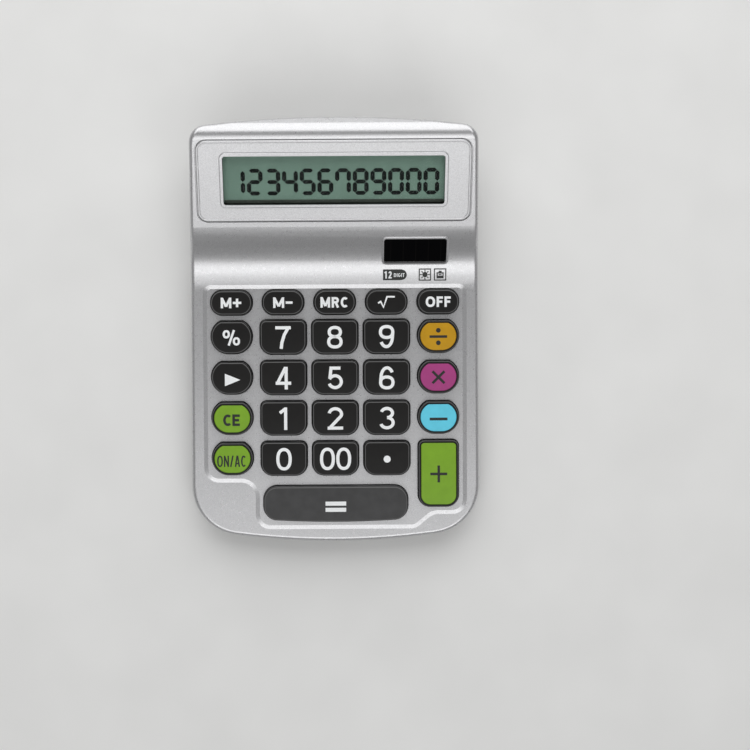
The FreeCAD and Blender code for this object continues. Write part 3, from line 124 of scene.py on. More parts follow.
def stroke(points, width, closed=False):
    """A line of even width through points.

    Each point is moved to both sides along the sum of the normals of its two runs, divided by one plus
    their dot product, which keeps the width even round a bend. Very sharp bends are cut short. Long
    runs are split first, so that the line can follow an arched surface.
    """
    points = np.array(points, dtype=float)
    if len(points) == 2:
        length = np.hypot(*(points[1] - points[0]))
        points = np.linspace(points[0], points[1], 2 + int(length / SHORT_RUN))
    runs = np.roll(points, -1, axis=0) - points if closed else np.diff(points, axis=0)
    normals = np.stack([-runs[:, 1], runs[:, 0]], axis=-1) / np.hypot(*runs.T)[:, None]
    before = np.roll(normals, 1, axis=0) if closed else np.concatenate([normals[:1], normals])
    after = normals if closed else np.concatenate([normals, normals[-1:]])
    bend = np.maximum(1 + np.sum(before * after, axis=1), SHARPEST_BEND)
    reach = (before + after) / bend[:, None] * width / 2
    count = len(points)
    faces = [(i, (i + 1) % count, count + (i + 1) % count, count + i) for i in range(len(runs))]
    return np.concatenate([points - reach, points + reach]), faces


def together(shapes):
    """Several flat shapes as one: points stacked, and each shape's faces moved on by those before."""
    points, faces, first = [], [], 0
    for shape_points, shape_faces in shapes:
        points.append(shape_points)
        faces += [tuple(first + corner for corner in face) for face in shape_faces]
        first += len(shape_points)
    return np.concatenate(points), faces


def moved(shape, across, along):
    """The same flat shape at another place."""
    return shape[0] + [across, along], shape[1]


print("a dot has", len(disc(0, 0, 1.0)[0]), "points")

# %% [markdown]
# The numerals and capitals on the keys are a plain sans serif of even weight. Such a letter is a few
# strokes: straight ones, and arcs of ellipses. Drawing the middle line of each stroke and giving it a
# width keeps the weight the same at every size, which is how the printed legends look.

# %% Arcs and ovals
ARC_STEP, OVAL_STEPS, OVAL_POWER = 9, 56, 0.88


def arc(centre_x, centre_y, across, along, start, end):
    """Points of an ellipse from one angle to another, in degrees."""
    angle = np.radians(np.linspace(start, end, 4 + int(abs(end - start) / ARC_STEP)))
    return np.stack([centre_x + across * np.cos(angle), centre_y + along * np.sin(angle)], axis=-1)


def oval(centre_x, centre_y, across, along):
    """Points of a slightly squared ellipse: cosine and sine raised to a power below one."""
    angle = np.linspace(0, 2 * math.pi, OVAL_STEPS, endpoint=False)
    x, y = np.cos(angle), np.sin(angle)
    return np.stack([centre_x + across * np.sign(x) * np.abs(x) ** OVAL_POWER,
                     centre_y + along * np.sign(y) * np.abs(y) ** OVAL_POWER], axis=-1)


print("an oval has", len(oval(0, 0, 1.0, 1.0)), "points")

# %% [markdown]
# A numeral is given by the middle lines of its strokes. The letters a and b are half the width and the
# height of these lines, and w and h are half the size of the finished numeral. A nine is a six turned
# round.


# %% Numerals
def numeral(name, wide, tall, thick):
    """The open and closed lines of a numeral that fills a width and a height."""
    a, b, w, h = (wide - thick) / 2, (tall - thick) / 2, wide / 2, tall / 2
    small, large = 0.47 * b, 0.53 * b
    top, low = b - small, large - b
    if name == "9":
        opened, closed = numeral("6", wide, tall, thick)
        return [-line for line in opened], [-line for line in closed]
    opened = {
        "1": [[(0.12 * wide, -h), (0.12 * wide, h)],
              [(0.12 * wide, 0.90 * h), (-0.30 * wide, 0.50 * h)]],
        "2": [[*arc(0, b - 0.56 * b, a, 0.56 * b, 170, -20), (-0.80 * a, -b + 0.3 * thick)],
              [(-w, -b), (w, -b)]],
        "3": [arc(0, top, 0.9 * a, small, 165, -90), arc(0, low, a, large, 90, -165)],
        "4": [[(0.45 * a, -h), (0.45 * a, h)], [(0.35 * a, 0.95 * h), (-0.92 * a, -0.40 * h)],
              [(-w, -0.45 * h), (w, -0.45 * h)]],
        "5": [[(-0.75 * a, b), (0.88 * a, b)], [(-0.62 * a, h), (-0.85 * a, -0.05 * h)],
              arc(0, -b + 0.61 * b, a, 0.61 * b, 155, -160)],
        "6": [[*arc(0.05 * a, 0, 0.98 * a, b, 32, 170), (-a, low)]],
        "7": [[(-w, b), (w, b)],
              [(0.85 * a, b), (0.2 * a, 0.25 * h), (-0.2 * a, -0.45 * h), (-0.32 * a, -h)]],
    }.get(name, [])
    closed = {
        "0": [oval(0, 0, a, b)],
        "6": [oval(0, low - 0.03 * b, a, large + 0.03 * b)],
        "8": [oval(0, top, 0.9 * a, small), oval(0, low, a, large)],
    }.get(name, [])
    return [np.array(line) for line in opened], closed


print("a six has", sum(map(len, numeral("6", 5.0, 8.0, 1.0))), "lines")

# %% [markdown]
# Capitals and signs are drawn in the same way. Most of the capitals start from a stem at the left.


# %% Capitals and signs
def capital(name, wide, tall, thick):
    """The open and closed lines of a capital or a sign that fills a width and a height."""
    a, b, w, h = (wide - thick) / 2, (tall - thick) / 2, wide / 2, tall / 2
    stem = [(-a, -h), (-a, h)]
    opened = {
        "A": [[(-a, -h), (-0.06 * w, h)], [(a, -h), (0.06 * w, h)],
              [(-0.6 * a, -0.4 * h), (0.6 * a, -0.4 * h)]],
        "C": [arc(0, 0, a, b, 48, 312)],
        "D": [stem, [(-a, b), (0, b), *arc(0, 0, a, b, 80, -80), (0, -b), (-a, -b)]],
        "E": [stem, [(-a, b), (w, b)], [(-a, 0), (0.8 * w, 0)], [(-a, -b), (w, -b)]],
        "F": [stem, [(-a, b), (w, b)], [(-a, 0), (0.8 * w, 0)]],
        "G": [arc(0, 0, a, b, 48, 350), [(0.1 * a, -0.1 * h), (w, -0.1 * h)]],
        "I": [[(0, -h), (0, h)]],
        "M": [stem, [(a, -h), (a, h)], [(-a, 0.92 * h), (0, -0.7 * h)], [(a, 0.92 * h), (0, -0.7 * h)]],
        "N": [stem, [(a, -h), (a, h)], [(-a, 0.92 * h), (a, -0.92 * h)]],
        "R": [stem, [(-a, b), (0.1 * a, b), *arc(0.1 * a, b / 2, 0.8 * a, b / 2, 80, -80),
                     (0.1 * a, 0), (-a, 0)], [(0.1 * a, 0), (a, -h)]],
        "T": [[(0, -h), (0, h)], [(-w, b), (w, b)]],
        "+": [[(-w, 0), (w, 0)], [(0, -w), (0, w)]],
        "-": [[(-w, 0), (w, 0)]],
        "/": [[(-a, -h), (a, h)]],
        "%": [[(-0.36 * a, -h), (0.36 * a, h)]],
    }.get(name, [])
    ring_x, ring_y = 0.21 * wide, 0.27 * tall
    closed = {
        "O": [oval(0, 0, a, b)],
        "%": [oval(ring_x - w, h - ring_y, ring_x - thick / 2, ring_y - thick / 2),
              oval(w - ring_x, ring_y - h, ring_x - thick / 2, ring_y - thick / 2)],
    }.get(name, [])
    return [np.array(line) for line in opened], closed


print("a percent sign has", sum(map(len, capital("%", 5.0, 8.0, 1.0))), "lines")

# %% [markdown]
# In a word, each letter takes the share of the width that suits its form: an M is wide and an I is
# narrow. The gaps between the letters are even.

# %% Words
LETTER_WIDTHS = {"A": 0.86, "C": 0.84, "D": 0.84, "E": 0.68, "F": 0.62, "G": 0.88, "I": 0.25, "M": 1.0,
                 "N": 0.82, "O": 0.92, "R": 0.78, "T": 0.74, "+": 0.8, "-": 0.62, "/": 0.60, "%": 1.1}
NUMERAL_WIDTH = 0.7


def lettering(words, width, height, thick, gap=0.14):
    """Words as a flat shape: each letter takes its share of the width, with even gaps between them."""
    gap = gap * height
    shares = np.array([LETTER_WIDTHS.get(letter, NUMERAL_WIDTH) for letter in words])
    widths = shares / shares.sum() * (width - gap * (len(words) - 1))
    starts = np.cumsum(widths + gap) - widths - gap - width / 2
    shapes = []
    for letter, start, wide in zip(words, starts, widths):
        draw = numeral if letter.isdigit() else capital
        opened, closed = draw(letter, wide, height, thick)
        lines = [stroke(line, thick) for line in opened] + [stroke(line, thick, True) for line in closed]
        shapes.append(moved(together(lines), start + wide / 2, 0))
    return together(shapes)


print(len(LETTER_WIDTHS), "letters and signs have a width of their own")

# %% [markdown]
# A finished print is a mesh with its own ink that rides on the body that carries it.


# %% Laying a print
def lay_print(name, points, faces, body, ink):
    """Makes a piece from points in millimetres, inks it and lets it ride on a body."""
    mesh = bpy.data.meshes.new(name)
    mesh.from_pydata((points * MM).tolist(), [], faces)
    mesh.materials.append(ink)
    piece = bpy.data.objects.new(name, mesh)
    bpy.context.scene.collection.objects.link(piece)
    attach(piece, body)


# %% [markdown]
# ## Finishes
#
# A finish is a Principled shader whose colour, roughness and bump come from noise on Object
# coordinates. The pieces lie in metres, so a noise scale of 8000 gives grains of about an eighth of a
# millimetre. These helpers keep each finish down to the few lines that make it different.


# %% Helpers for finishes
def new_finish(name):
    """An empty finish with its node tree and shader."""
    material = bpy.data.materials.new(name)
    material.use_nodes = True
    return material, material.node_tree, material.node_tree.nodes["Principled BSDF"]


def grain(tree, scale, detail=2.0, cells=False):
    """A grey pattern on Object coordinates: soft noise, or sharp cells for flakes."""
    place = tree.nodes.new("ShaderNodeTexCoord")
    texture = tree.nodes.new("ShaderNodeTexVoronoi" if cells else "ShaderNodeTexNoise")
    texture.inputs["Scale"].default_value = scale
    texture.inputs["Detail"].default_value = detail
    tree.links.new(place.outputs["Object"], texture.inputs["Vector"])
    return texture.outputs["Color" if cells else "Fac"]


def ramp(tree, pattern, dark, light, start=0.3, end=0.7):
    """A pattern turned into colours from dark to light."""
    node = tree.nodes.new("ShaderNodeValToRGB")
    node.color_ramp.elements[0].position = start
    node.color_ramp.elements[0].color = (*dark, 1)
    node.color_ramp.elements[1].position = end
    node.color_ramp.elements[1].color = (*light, 1)
    tree.links.new(pattern, node.inputs["Fac"])
    return node.outputs["Color"]


def span(tree, pattern, low, high):
    """A pattern turned into numbers from low to high."""
    node = tree.nodes.new("ShaderNodeMapRange")
    node.inputs["To Min"].default_value = low
    node.inputs["To Max"].default_value = high
    tree.links.new(pattern, node.inputs["Value"])
    return node.outputs["Result"]


def relief(tree, shader, pattern, height):
    """A pattern used as a bump of a height in metres."""
    node = tree.nodes.new("ShaderNodeBump")
    node.inputs["Strength"].default_value = 1.0
    node.inputs["Distance"].default_value = height
    tree.links.new(pattern, node.inputs["Height"])
    tree.links.new(node.outputs["Normal"], shader.inputs["Normal"])


def shades(colour, spread):
    """A darker and a lighter version of a colour."""
    return tuple(c * (1 - spread) for c in colour), tuple(min(1, c * (1 + spread)) for c in colour)


print("shades of a mid grey:", shades((0.5, 0.5, 0.5), 0.1))

# %% [markdown]
# Most pieces are moulded plastic or plated metal, so these two have a function each. Both let the gloss
# vary a little to either side of the given roughness.

# %% Plastic and metal
CLOUD_SCALE, PLASTIC_VARIES, METAL_VARIES, METAL_WEAR = 260, 0.06, 0.08, 0.15


def moulded(name, colour, roughness, spread=0.12, grain_scale=5000, grain_height=4e-6, gloss=0.5):
    """Moulded or painted plastic: slightly cloudy colour, uneven gloss and a fine grain."""
    material, tree, shader = new_finish(name)
    clouds = ramp(tree, grain(tree, CLOUD_SCALE), *shades(colour, spread))
    tree.links.new(clouds, shader.inputs["Base Color"])
    fine = grain(tree, grain_scale, 3.0)
    gloss_map = span(tree, fine, roughness - PLASTIC_VARIES, roughness + PLASTIC_VARIES)
    tree.links.new(gloss_map, shader.inputs["Roughness"])
    relief(tree, shader, fine, grain_height)
    shader.inputs["Specular IOR Level"].default_value = gloss
    return material


def metal(name, colour, roughness, scale=1800):
    """Bare plated metal: a metallic shader with fine, uneven wear."""
    material, tree, shader = new_finish(name)
    wear = grain(tree, scale, 4.0)
    tree.links.new(ramp(tree, wear, *shades(colour, METAL_WEAR)), shader.inputs["Base Color"])
    gloss_map = span(tree, wear, roughness - METAL_VARIES, roughness + METAL_VARIES)
    tree.links.new(gloss_map, shader.inputs["Roughness"])
    shader.inputs["Metallic"].default_value = 1.0
    return material


print("roughness varies by", PLASTIC_VARIES, "on plastic and", METAL_VARIES, "on metal")

# %% [markdown]
# ### Silver paint
#
# The shell is plastic under a silver lacquer with aluminium flakes. Close up it sparkles faintly, and
# from afar it reads as a soft metal that goes white where it mirrors a lamp. Voronoi cells give each
# flake its own brightness, a slower noise adds the unevenness of spraying, and the shader is partly
# metallic, so that the wave in the shell shows as bands of light.

# %% Silver paint
FLAKE_SCALE, SPRAY_SCALE, PEEL_SCALE, PEEL_HEIGHT = 7000, 900, 3200, 1.5e-6
PAINT_VARIES, PAINT_METALLIC = 0.05, 0.75


def silver_paint(name, colour, roughness, sparkle):
    """Lacquer with flakes: brightness by cell, gloss by a slow noise, and a bump like orange peel."""
    material, tree, shader = new_finish(name)
    flakes = grain(tree, FLAKE_SCALE, 0.0, cells=True)
    flake_colour = ramp(tree, flakes, *shades(colour, sparkle), start=0.1, end=0.9)
    tree.links.new(flake_colour, shader.inputs["Base Color"])
    cloud = grain(tree, SPRAY_SCALE, 3.0)
    gloss_map = span(tree, cloud, roughness - PAINT_VARIES, roughness + PAINT_VARIES)
    tree.links.new(gloss_map, shader.inputs["Roughness"])
    relief(tree, shader, grain(tree, PEEL_SCALE, 2.0), PEEL_HEIGHT)
    shader.inputs["Metallic"].default_value = PAINT_METALLIC
    return material


shell_paint = silver_paint("silver_paint", (0.58, 0.58, 0.59), roughness=0.29, sparkle=0.12)
bezel_paint = silver_paint("bezel_paint", (0.64, 0.64, 0.65), roughness=0.38, sparkle=0.16)
base_paint = silver_paint("base_paint", (0.56, 0.56, 0.57), roughness=0.42, sparkle=0.12)
print("paints:", shell_paint.name, bezel_paint.name, base_paint.name)

# %% [markdown]
# ### Keys
#
# The caps are charcoal plastic with a fine satin texture, and six carry a coloured face. The wide equals
# key is a shade lighter, which is painted light for the sheen on its wide top. The ink on dark caps is
# off-white, and near black on the coloured ones.

# %% Key plastics and inks
CAP_GRAIN, KEY_GLOSS = 3e-6, 0.35
FACE_COLOURS = {"green_face": (0.205, 0.400, 0.020), "mustard_face": (0.560, 0.295, 0.002),
                "magenta_face": (0.400, 0.050, 0.220), "cyan_face": (0.130, 0.650, 0.840)}
charcoal = moulded("charcoal_cap", (0.0080, 0.0074, 0.0071), 0.38, grain_height=CAP_GRAIN, gloss=0.27)
# A lighter copy of the cap plastic for the equals key: painted sheen on its wide top.
charcoal_painted_sheen = moulded("charcoal_bar_painted_sheen", (0.053, 0.053, 0.054), 0.42, grain_height=CAP_GRAIN,
                         gloss=KEY_GLOSS)
key_faces = {name: moulded(name, colour, 0.42, spread=0.05, gloss=KEY_GLOSS)
             for name, colour in FACE_COLOURS.items()}
white_ink = moulded("white_ink", (0.93, 0.95, 0.96), 0.45, spread=0.03)
black_ink = moulded("black_ink", (0.012, 0.014, 0.012), 0.45, spread=0.05)
print(len(key_faces), "key face colours")

# %% [markdown]
# ### Display and solar cell
#
# A reflective display is grey-green film behind glass, a little cloudy. The clear window over it only
# has to catch reflections, so it is a mostly see-through glossy sheet. The solar cell is nearly black
# glass, divided into strips by thin lines that run across it.

# %% Display film, clear window and solar glass
HAZE_SCALE, SHEET_COVER, STRIPE_SCALE = 600, 0.06, 75.0


def clear_sheet(name):
    """A sheet that is nearly all see-through, with a little haze and a sharp shine."""
    material, tree, shader = new_finish(name)
    haze = grain(tree, HAZE_SCALE)
    tint = ramp(tree, haze, (0.020, 0.024, 0.022), (0.026, 0.030, 0.028))
    tree.links.new(tint, shader.inputs["Base Color"])
    tree.links.new(span(tree, haze, 0.05, 0.09), shader.inputs["Roughness"])
    shader.inputs["Alpha"].default_value = SHEET_COVER
    return material


def solar_glass(name):
    """Black glass with a faint line about every four millimetres."""
    material, tree, shader = new_finish(name)
    place = tree.nodes.new("ShaderNodeTexCoord")
    stripes = tree.nodes.new("ShaderNodeTexWave")
    stripes.wave_profile = "SIN"
    stripes.inputs["Scale"].default_value = STRIPE_SCALE
    tree.links.new(place.outputs["Object"], stripes.inputs["Vector"])
    lines = ramp(tree, stripes.outputs["Fac"], (0.0012, 0.0012, 0.0016), (0.004, 0.0036, 0.0036),
                 start=0.97, end=1.0)
    tree.links.new(lines, shader.inputs["Base Color"])
    shader.inputs["Roughness"].default_value = 0.18
    shader.inputs["Specular IOR Level"].default_value = 0.06
    return material


display_film = moulded("display_film", (0.240, 0.386, 0.310), 0.55, spread=0.05, grain_height=1e-6,
                       gloss=0.1)
window_sheet = clear_sheet("clear_window")
solar_black = solar_glass("solar_black")
segment_ink = moulded("segment_ink", (0.004, 0.008, 0.007), 0.6, spread=0.05, gloss=0.05)
# Dim green-grey ink for the painted shadow at the film's lower edge.
film_shadow_ink = moulded("film_shadow_ink", (0.105, 0.125, 0.105), 0.6, spread=0.05, gloss=0.05)
print("display finishes ready")

# %% [markdown]
# ### What is inside and underneath
#
# The other pieces hardly show, but the model can be opened and turned over, so each has its own finish
# too: green board, milky silicone, rubber, plated steel and brass.

# %% Finish of every CAD slot
finishes = {
    "silver_paint": shell_paint,
    "bezel_paint": bezel_paint,
    "clear_window": window_sheet,
    "lcd_glass": display_film,
    "solar_glass": solar_black,
    "key_plastic": charcoal,
    "equals_plastic": charcoal_painted_sheen,
    "black_plastic": moulded("holder_plastic", (0.02, 0.02, 0.02), 0.5),
    "ribbon_film": moulded("ribbon_film", (0.45, 0.18, 0.03), 0.3),
    "lead_sleeve": moulded("lead_sleeve", (0.30, 0.02, 0.02), 0.4),
    "board_laminate": moulded("board_laminate", (0.012, 0.095, 0.03), 0.3, spread=0.2),
    "epoxy": moulded("epoxy_drop", (0.012, 0.012, 0.013), 0.25),
    "capacitor_sleeve": moulded("capacitor_sleeve", (0.01, 0.015, 0.06), 0.3),
    "silicone": moulded("silicone", (0.55, 0.55, 0.52), 0.55),
    "carbon_rubber": moulded("carbon_rubber", (0.015, 0.015, 0.015), 0.75),
    "cell_steel": metal("cell_steel", (0.62, 0.62, 0.62), 0.25),
    "contact_metal": metal("contact_metal", (0.70, 0.55, 0.28), 0.3),
    "foot_rubber": moulded("foot_rubber", (0.018, 0.018, 0.018), 0.8, spread=0.2,
                           grain_scale=2500, grain_height=2e-5),
    "screw_steel": metal("screw_steel", (0.50, 0.50, 0.50), 0.32),
    **key_faces,
}
for subpart in frame["record"]["subparts"]:
    piece = nodes[subpart["node"]]
    finish = finishes[subpart["material_slot"]]
    if subpart["node"] in ("lower_housing", "battery_door"):
        finish = base_paint
    for held in piece.material_slots:
        held.material = finish
print(len(finishes), "finishes on", len(nodes), "CAD nodes")

# %% [markdown]
# ## Legends on the keys
#
# Each legend is pad-printed on a slightly arched key top. The arch runs from front to back, so a point
# at a distance y from the key's middle lies y squared over twice the arch's radius lower. The print is
# raised by a few hundredths of a millimetre to lie clear of the cap, and rides on its own key.

# %% Where the keys are
COLUMN_PITCH, ROW_PITCH = 17.35, 13.67
FUNCTION_ROW, FIRST_ROW = -12.1, -23.8
EQUALS_ROW = FIRST_ROW - 3 * ROW_PITCH - 15.4
PLUS_ROW = FIRST_ROW - 3 * ROW_PITCH - 5.3
KEY_RISE, KEY_ARCH, INK = 3.2, 110.0, 0.035

key_places = {"equals": (0.0, EQUALS_ROW), "plus": (2 * COLUMN_PITCH, PLUS_ROW)}
for column, key in enumerate(("memory_plus", "memory_minus", "memory_recall", "root", "off"), start=-2):
    key_places[key] = (column * COLUMN_PITCH, FUNCTION_ROW)
for row, keys in enumerate((("percent", "7", "8", "9", "divide"), ("step", "4", "5", "6", "multiply"),
                            ("clear_entry", "1", "2", "3", "minus"), ("on_clear", "0", "00", "point"))):
    for column, key in enumerate(keys, start=-2):
        key_places[key] = (column * COLUMN_PITCH, FIRST_ROW - row * ROW_PITCH)
print(len(key_places), "keys placed")

# %% [markdown]
# The top edge of each cap gets a painted highlight: a thin light line round the key in place of the
# shine of the edge. The line lies at a set depth below the arched top. In a frame at the top's middle,
# a point's height above the arch is its own height plus the distance from the middle squared over twice
# the arch's radius. Each row of keys gets a finish of its own, because each has its own middle.

# %% Height below the arched top
EDGE_REACH = 0.5


def nearness_to_top(tree, row):
    """A number that rises from 0 a little below the arched top of a row's keys to 1 at the top."""
    place = tree.nodes.new("ShaderNodeTexCoord")
    turn = tree.nodes.new("ShaderNodeMapping")
    turn.vector_type = "TEXTURE"
    turn.inputs["Location"].default_value = on_deck(0.0, row, KEY_RISE) * MM
    turn.inputs["Rotation"].default_value = (DECK_TILT, 0, 0)
    turn.inputs["Scale"].default_value = (MM, MM, MM)
    tree.links.new(place.outputs["Object"], turn.inputs["Vector"])
    split = tree.nodes.new("ShaderNodeSeparateXYZ")
    tree.links.new(turn.outputs["Vector"], split.inputs["Vector"])
    square = tree.nodes.new("ShaderNodeMath")
    square.operation = "MULTIPLY"
    tree.links.new(split.outputs["Y"], square.inputs[0])
    tree.links.new(split.outputs["Y"], square.inputs[1])
    level = tree.nodes.new("ShaderNodeMath")
    level.operation = "MULTIPLY_ADD"
    level.inputs[1].default_value = 1 / (2 * KEY_ARCH)
    tree.links.new(square.outputs["Value"], level.inputs[0])
    tree.links.new(split.outputs["Z"], level.inputs[2])
    depth = tree.nodes.new("ShaderNodeMapRange")
    depth.inputs["From Min"].default_value = -EDGE_REACH
    depth.inputs["From Max"].default_value = 0.0
    tree.links.new(level.outputs["Value"], depth.inputs["Value"])
    return depth.outputs["Result"]


print("edges are looked for within", EDGE_REACH, "mm of the top")

# %% [markdown]
# A ramp cuts a narrow band out of this number, and the cap takes the lighter of its own colour and the
# band's, which paints the highlight on the edge. The mix node has a pair of inputs for each kind of
# value, and those for colours are picked by their number.

# %% Painted highlights on the cap edges
# Colour of the painted highlight on the cap edges.
EDGE_HIGHLIGHT_SHADE = (0.12, 0.12, 0.12)
BAND_START, BAND_FULL, BAND_FADE, BAND_END = 0.70, 0.75, 0.95, 0.985
MIX_FIRST, MIX_SECOND, MIX_RESULT = 6, 7, 2


def paint_edge_highlight(material, row):
    """Paints a highlight: lightens a finish in a narrow band just below the arched top of the keys of
    one row.
    """
    tree = material.node_tree
    shader = tree.nodes["Principled BSDF"]
    band = tree.nodes.new("ShaderNodeValToRGB")
    stops = band.color_ramp.elements
    stops[0].position, stops[0].color = BAND_START, (0, 0, 0, 1)
    stops[1].position, stops[1].color = BAND_END, (0, 0, 0, 1)
    for stop in (BAND_FULL, BAND_FADE):
        stops.new(stop).color = (*EDGE_HIGHLIGHT_SHADE, 1)
    tree.links.new(nearness_to_top(tree, row), band.inputs["Fac"])
    lighter = tree.nodes.new("ShaderNodeMix")
    lighter.data_type = "RGBA"
    lighter.blend_type = "LIGHTEN"
    lighter.inputs["Factor"].default_value = 1.0
    tree.links.new(shader.inputs["Base Color"].links[0].from_socket, lighter.inputs[MIX_FIRST])
    tree.links.new(band.outputs["Color"], lighter.inputs[MIX_SECOND])
    tree.links.new(lighter.outputs[MIX_RESULT], shader.inputs["Base Color"])


row_finishes = {}
for key, (across, row) in key_places.items():
    if row not in row_finishes:
        row_finishes[row] = (charcoal_painted_sheen if key == "equals" else charcoal).copy()
        paint_edge_highlight(row_finishes[row], row)
    for held in nodes[f"key_{key}"].material_slots:
        held.material = row_finishes[row]
print(len(row_finishes), "rows of caps with light edges")

# %% [markdown]
# Every key has its legend as a flat shape, drawn about the key's middle. Signs are bars and discs, words
# and numbers come from the strokes above.

# %% What each key says
DIGIT_HEIGHT, DIGIT_WIDTH, DIGIT_STROKE = 7.6, 5.2, 1.06
CAPITAL_HEIGHT, CAPITAL_STROKE = 3.55, 0.80
SIGN_LENGTH, SIGN_STROKE = 5.7, 0.85
root_sign = stroke([(-2.8, -0.35), (-1.9, 0.15), (-1.0, -1.75), (0.2, 1.75), (2.8, 1.75)], 0.55)
arrow_head = (np.array([[-2.6, -2.1], [2.6, 0.0], [-2.6, 2.1]]), [(0, 1, 2)])
divide_sign = together([bar(0, 0, 5.9, SIGN_STROKE), disc(0, 2.1, 0.78), disc(0, -2.1, 0.78)])
multiply_sign = together([bar(0, 0, SIGN_LENGTH, SIGN_STROKE, math.radians(45)),
                          bar(0, 0, SIGN_LENGTH, SIGN_STROKE, math.radians(-45))])
plus_sign = together([bar(0, 0, SIGN_LENGTH, SIGN_STROKE),
                      bar(0, 0, SIGN_LENGTH, SIGN_STROKE, math.radians(90))])
equals_sign = together([bar(0, 1.05, 6.95, 1.37), bar(0, -1.05, 6.95, 1.37)])

legends = {
    "memory_plus": lettering("M+", 6.9, CAPITAL_HEIGHT, CAPITAL_STROKE),
    "memory_minus": lettering("M-", 6.5, CAPITAL_HEIGHT, CAPITAL_STROKE),
    "memory_recall": lettering("MRC", 9.5, CAPITAL_HEIGHT, CAPITAL_STROKE),
    "root": root_sign,
    "off": lettering("OFF", 8.4, CAPITAL_HEIGHT, CAPITAL_STROKE),
    "percent": lettering("%", 5.8, 5.2, 0.75),
    "step": moved(arrow_head, 0.3, -0.5),
    "clear_entry": moved(lettering("CE", 5.6, 3.9, 0.85, 0.0), -0.2, -0.4),
    "on_clear": moved(lettering("ON/AC", 9.8, 3.8, 0.48, 0.09), -0.25, -0.6),
    "divide": divide_sign,
    "multiply": multiply_sign,
    "minus": moved(bar(0, 0, 6.0, 0.9), 0.0, -0.4),
    "plus": plus_sign,
    "equals": moved(equals_sign, 0.0, -0.8),
    "point": disc(0, -0.2, 1.18),
    "00": lettering("00", 10.5, DIGIT_HEIGHT, DIGIT_STROKE, 0.06),
    "1": moved(lettering("1", 4.6, DIGIT_HEIGHT, DIGIT_STROKE), 0.1, 0.0),
}
for digit in "023456789":
    legends[digit] = lettering(digit, DIGIT_WIDTH, DIGIT_HEIGHT, DIGIT_STROKE)

for key, (points, faces) in legends.items():
    across, along = key_places[key]
    arched = KEY_RISE - points[:, 1] ** 2 / (2 * KEY_ARCH) + INK
    ink = black_ink if f"inlay_{key}" in nodes else white_ink
    laid = on_deck(across + points[:, 0], along + points[:, 1], arched)
    lay_print(f"legend_{key}", laid, faces, f"key_{key}", ink)
print(len(legends), "legends printed")

# %% [markdown]
# ## Painted shade on the walls of the display window
#
# Seen from above, the lower wall of the window is a nearly black band of shade. A dark lining on the
# inside of the wall paints this shade in. The lining is a strip that runs round a rectangle with round
# corners: one parameter goes round it, the other goes down the wall.

# %% Window lining of painted shade
WINDOW_V, WINDOW_HALF_U, WINDOW_HALF_V, WINDOW_CORNER = 19.45, 36.25, 8.55, 0.9
LINING_TOP, LINING_FOOT, LINING_GAP = 0.35, -0.98, 0.02


def rounded_path(half_u, half_v, corner, turns=9):
    """Points round a rectangle: a quarter circle at each corner, in order."""
    angle = np.radians(np.linspace(0, 90, turns)[None, :] + np.arange(4)[:, None] * 90)
    centre_u = np.array([1, -1, -1, 1])[:, None] * (half_u - corner)
    centre_v = np.array([1, 1, -1, -1])[:, None] * (half_v - corner)
    ring = np.stack([centre_u + corner * np.cos(angle), centre_v + corner * np.sin(angle)], axis=-1)
    return ring.reshape(-1, 2)


path = rounded_path(WINDOW_HALF_U - LINING_GAP, WINDOW_HALF_V - LINING_GAP, WINDOW_CORNER)
count = len(path)
levels = np.repeat([LINING_TOP, LINING_FOOT], count)
laid = on_display(np.tile(path[:, 0], 2), WINDOW_V + np.tile(path[:, 1], 2), levels)
faces = [(i, (i + 1) % count, count + (i + 1) % count, count + i) for i in range(count)]
# Near black: the painted shade of the window's walls.
lining = moulded("lining_painted_shade", (0.006, 0.006, 0.005), 0.7, gloss=0.1)
lay_print("window_painted_shade", laid, faces, "housing", lining)
print("lining of", count, "steps")

# %% [markdown]
# ## Digits on the display
#
# A seven-segment digit is made of bars with pointed ends that leave a hair's gap where they meet. One
# bar is a six-sided outline. It is laid along the top, middle and bottom edges and twice down each
# side, and each numeral switches on its own set of bars. A dim strip along the film's lower edge is
# painted shadow from the window's lower wall.

# %% Seven segments
DISPLAY_TEXT = "123456789000"
DIGIT_PITCH, SEGMENT_WIDE, SEGMENT_TALL, SEGMENT_THICK = 5.79, 3.8, 8.0, 1.42
SEGMENT_GAP = 0.09
SEGMENTS_ON = {"0": "abcdef", "1": "bc", "2": "abdeg", "3": "abcdg", "4": "bcfg", "5": "acdfg",
               "6": "acdefg", "7": "abcf", "8": "abcdefg", "9": "abcdfg"}
SEGMENT_CENTRES = {"a": (0, 1), "b": (1, 0.5), "c": (1, -0.5), "d": (0, -1), "e": (-1, -0.5),
                   "f": (-1, 0.5), "g": (0, 0)}
LAST_DIGIT_U, DIGITS_V = 31.95, 17.9
FILM_LEVEL, FILM_INK = -2.1, 0.03
# Place and size of the painted shadow strip at the film's lower edge.
SHADOW_STRIP_V, SHADOW_STRIP_WIDE, SHADOW_STRIP_TALL = 10.9, 72.0, 1.5


def segment(letter):
    """A pointed bar: six corners, as long as its edge of the digit less a small gap."""
    flat = letter in "adg"
    half = (SEGMENT_WIDE if flat else SEGMENT_TALL / 2) / 2 - SEGMENT_GAP
    thick = SEGMENT_THICK / 2
    corners = np.array([[-half, 0], [thick - half, -thick], [half - thick, -thick],
                        [half, 0], [half - thick, thick], [thick - half, thick]])
    if not flat:
        corners = np.stack([-corners[:, 1], corners[:, 0]], axis=-1)
    across, along = SEGMENT_CENTRES[letter]
    return corners + [across * SEGMENT_WIDE / 2, along * SEGMENT_TALL / 2], [tuple(range(6))]


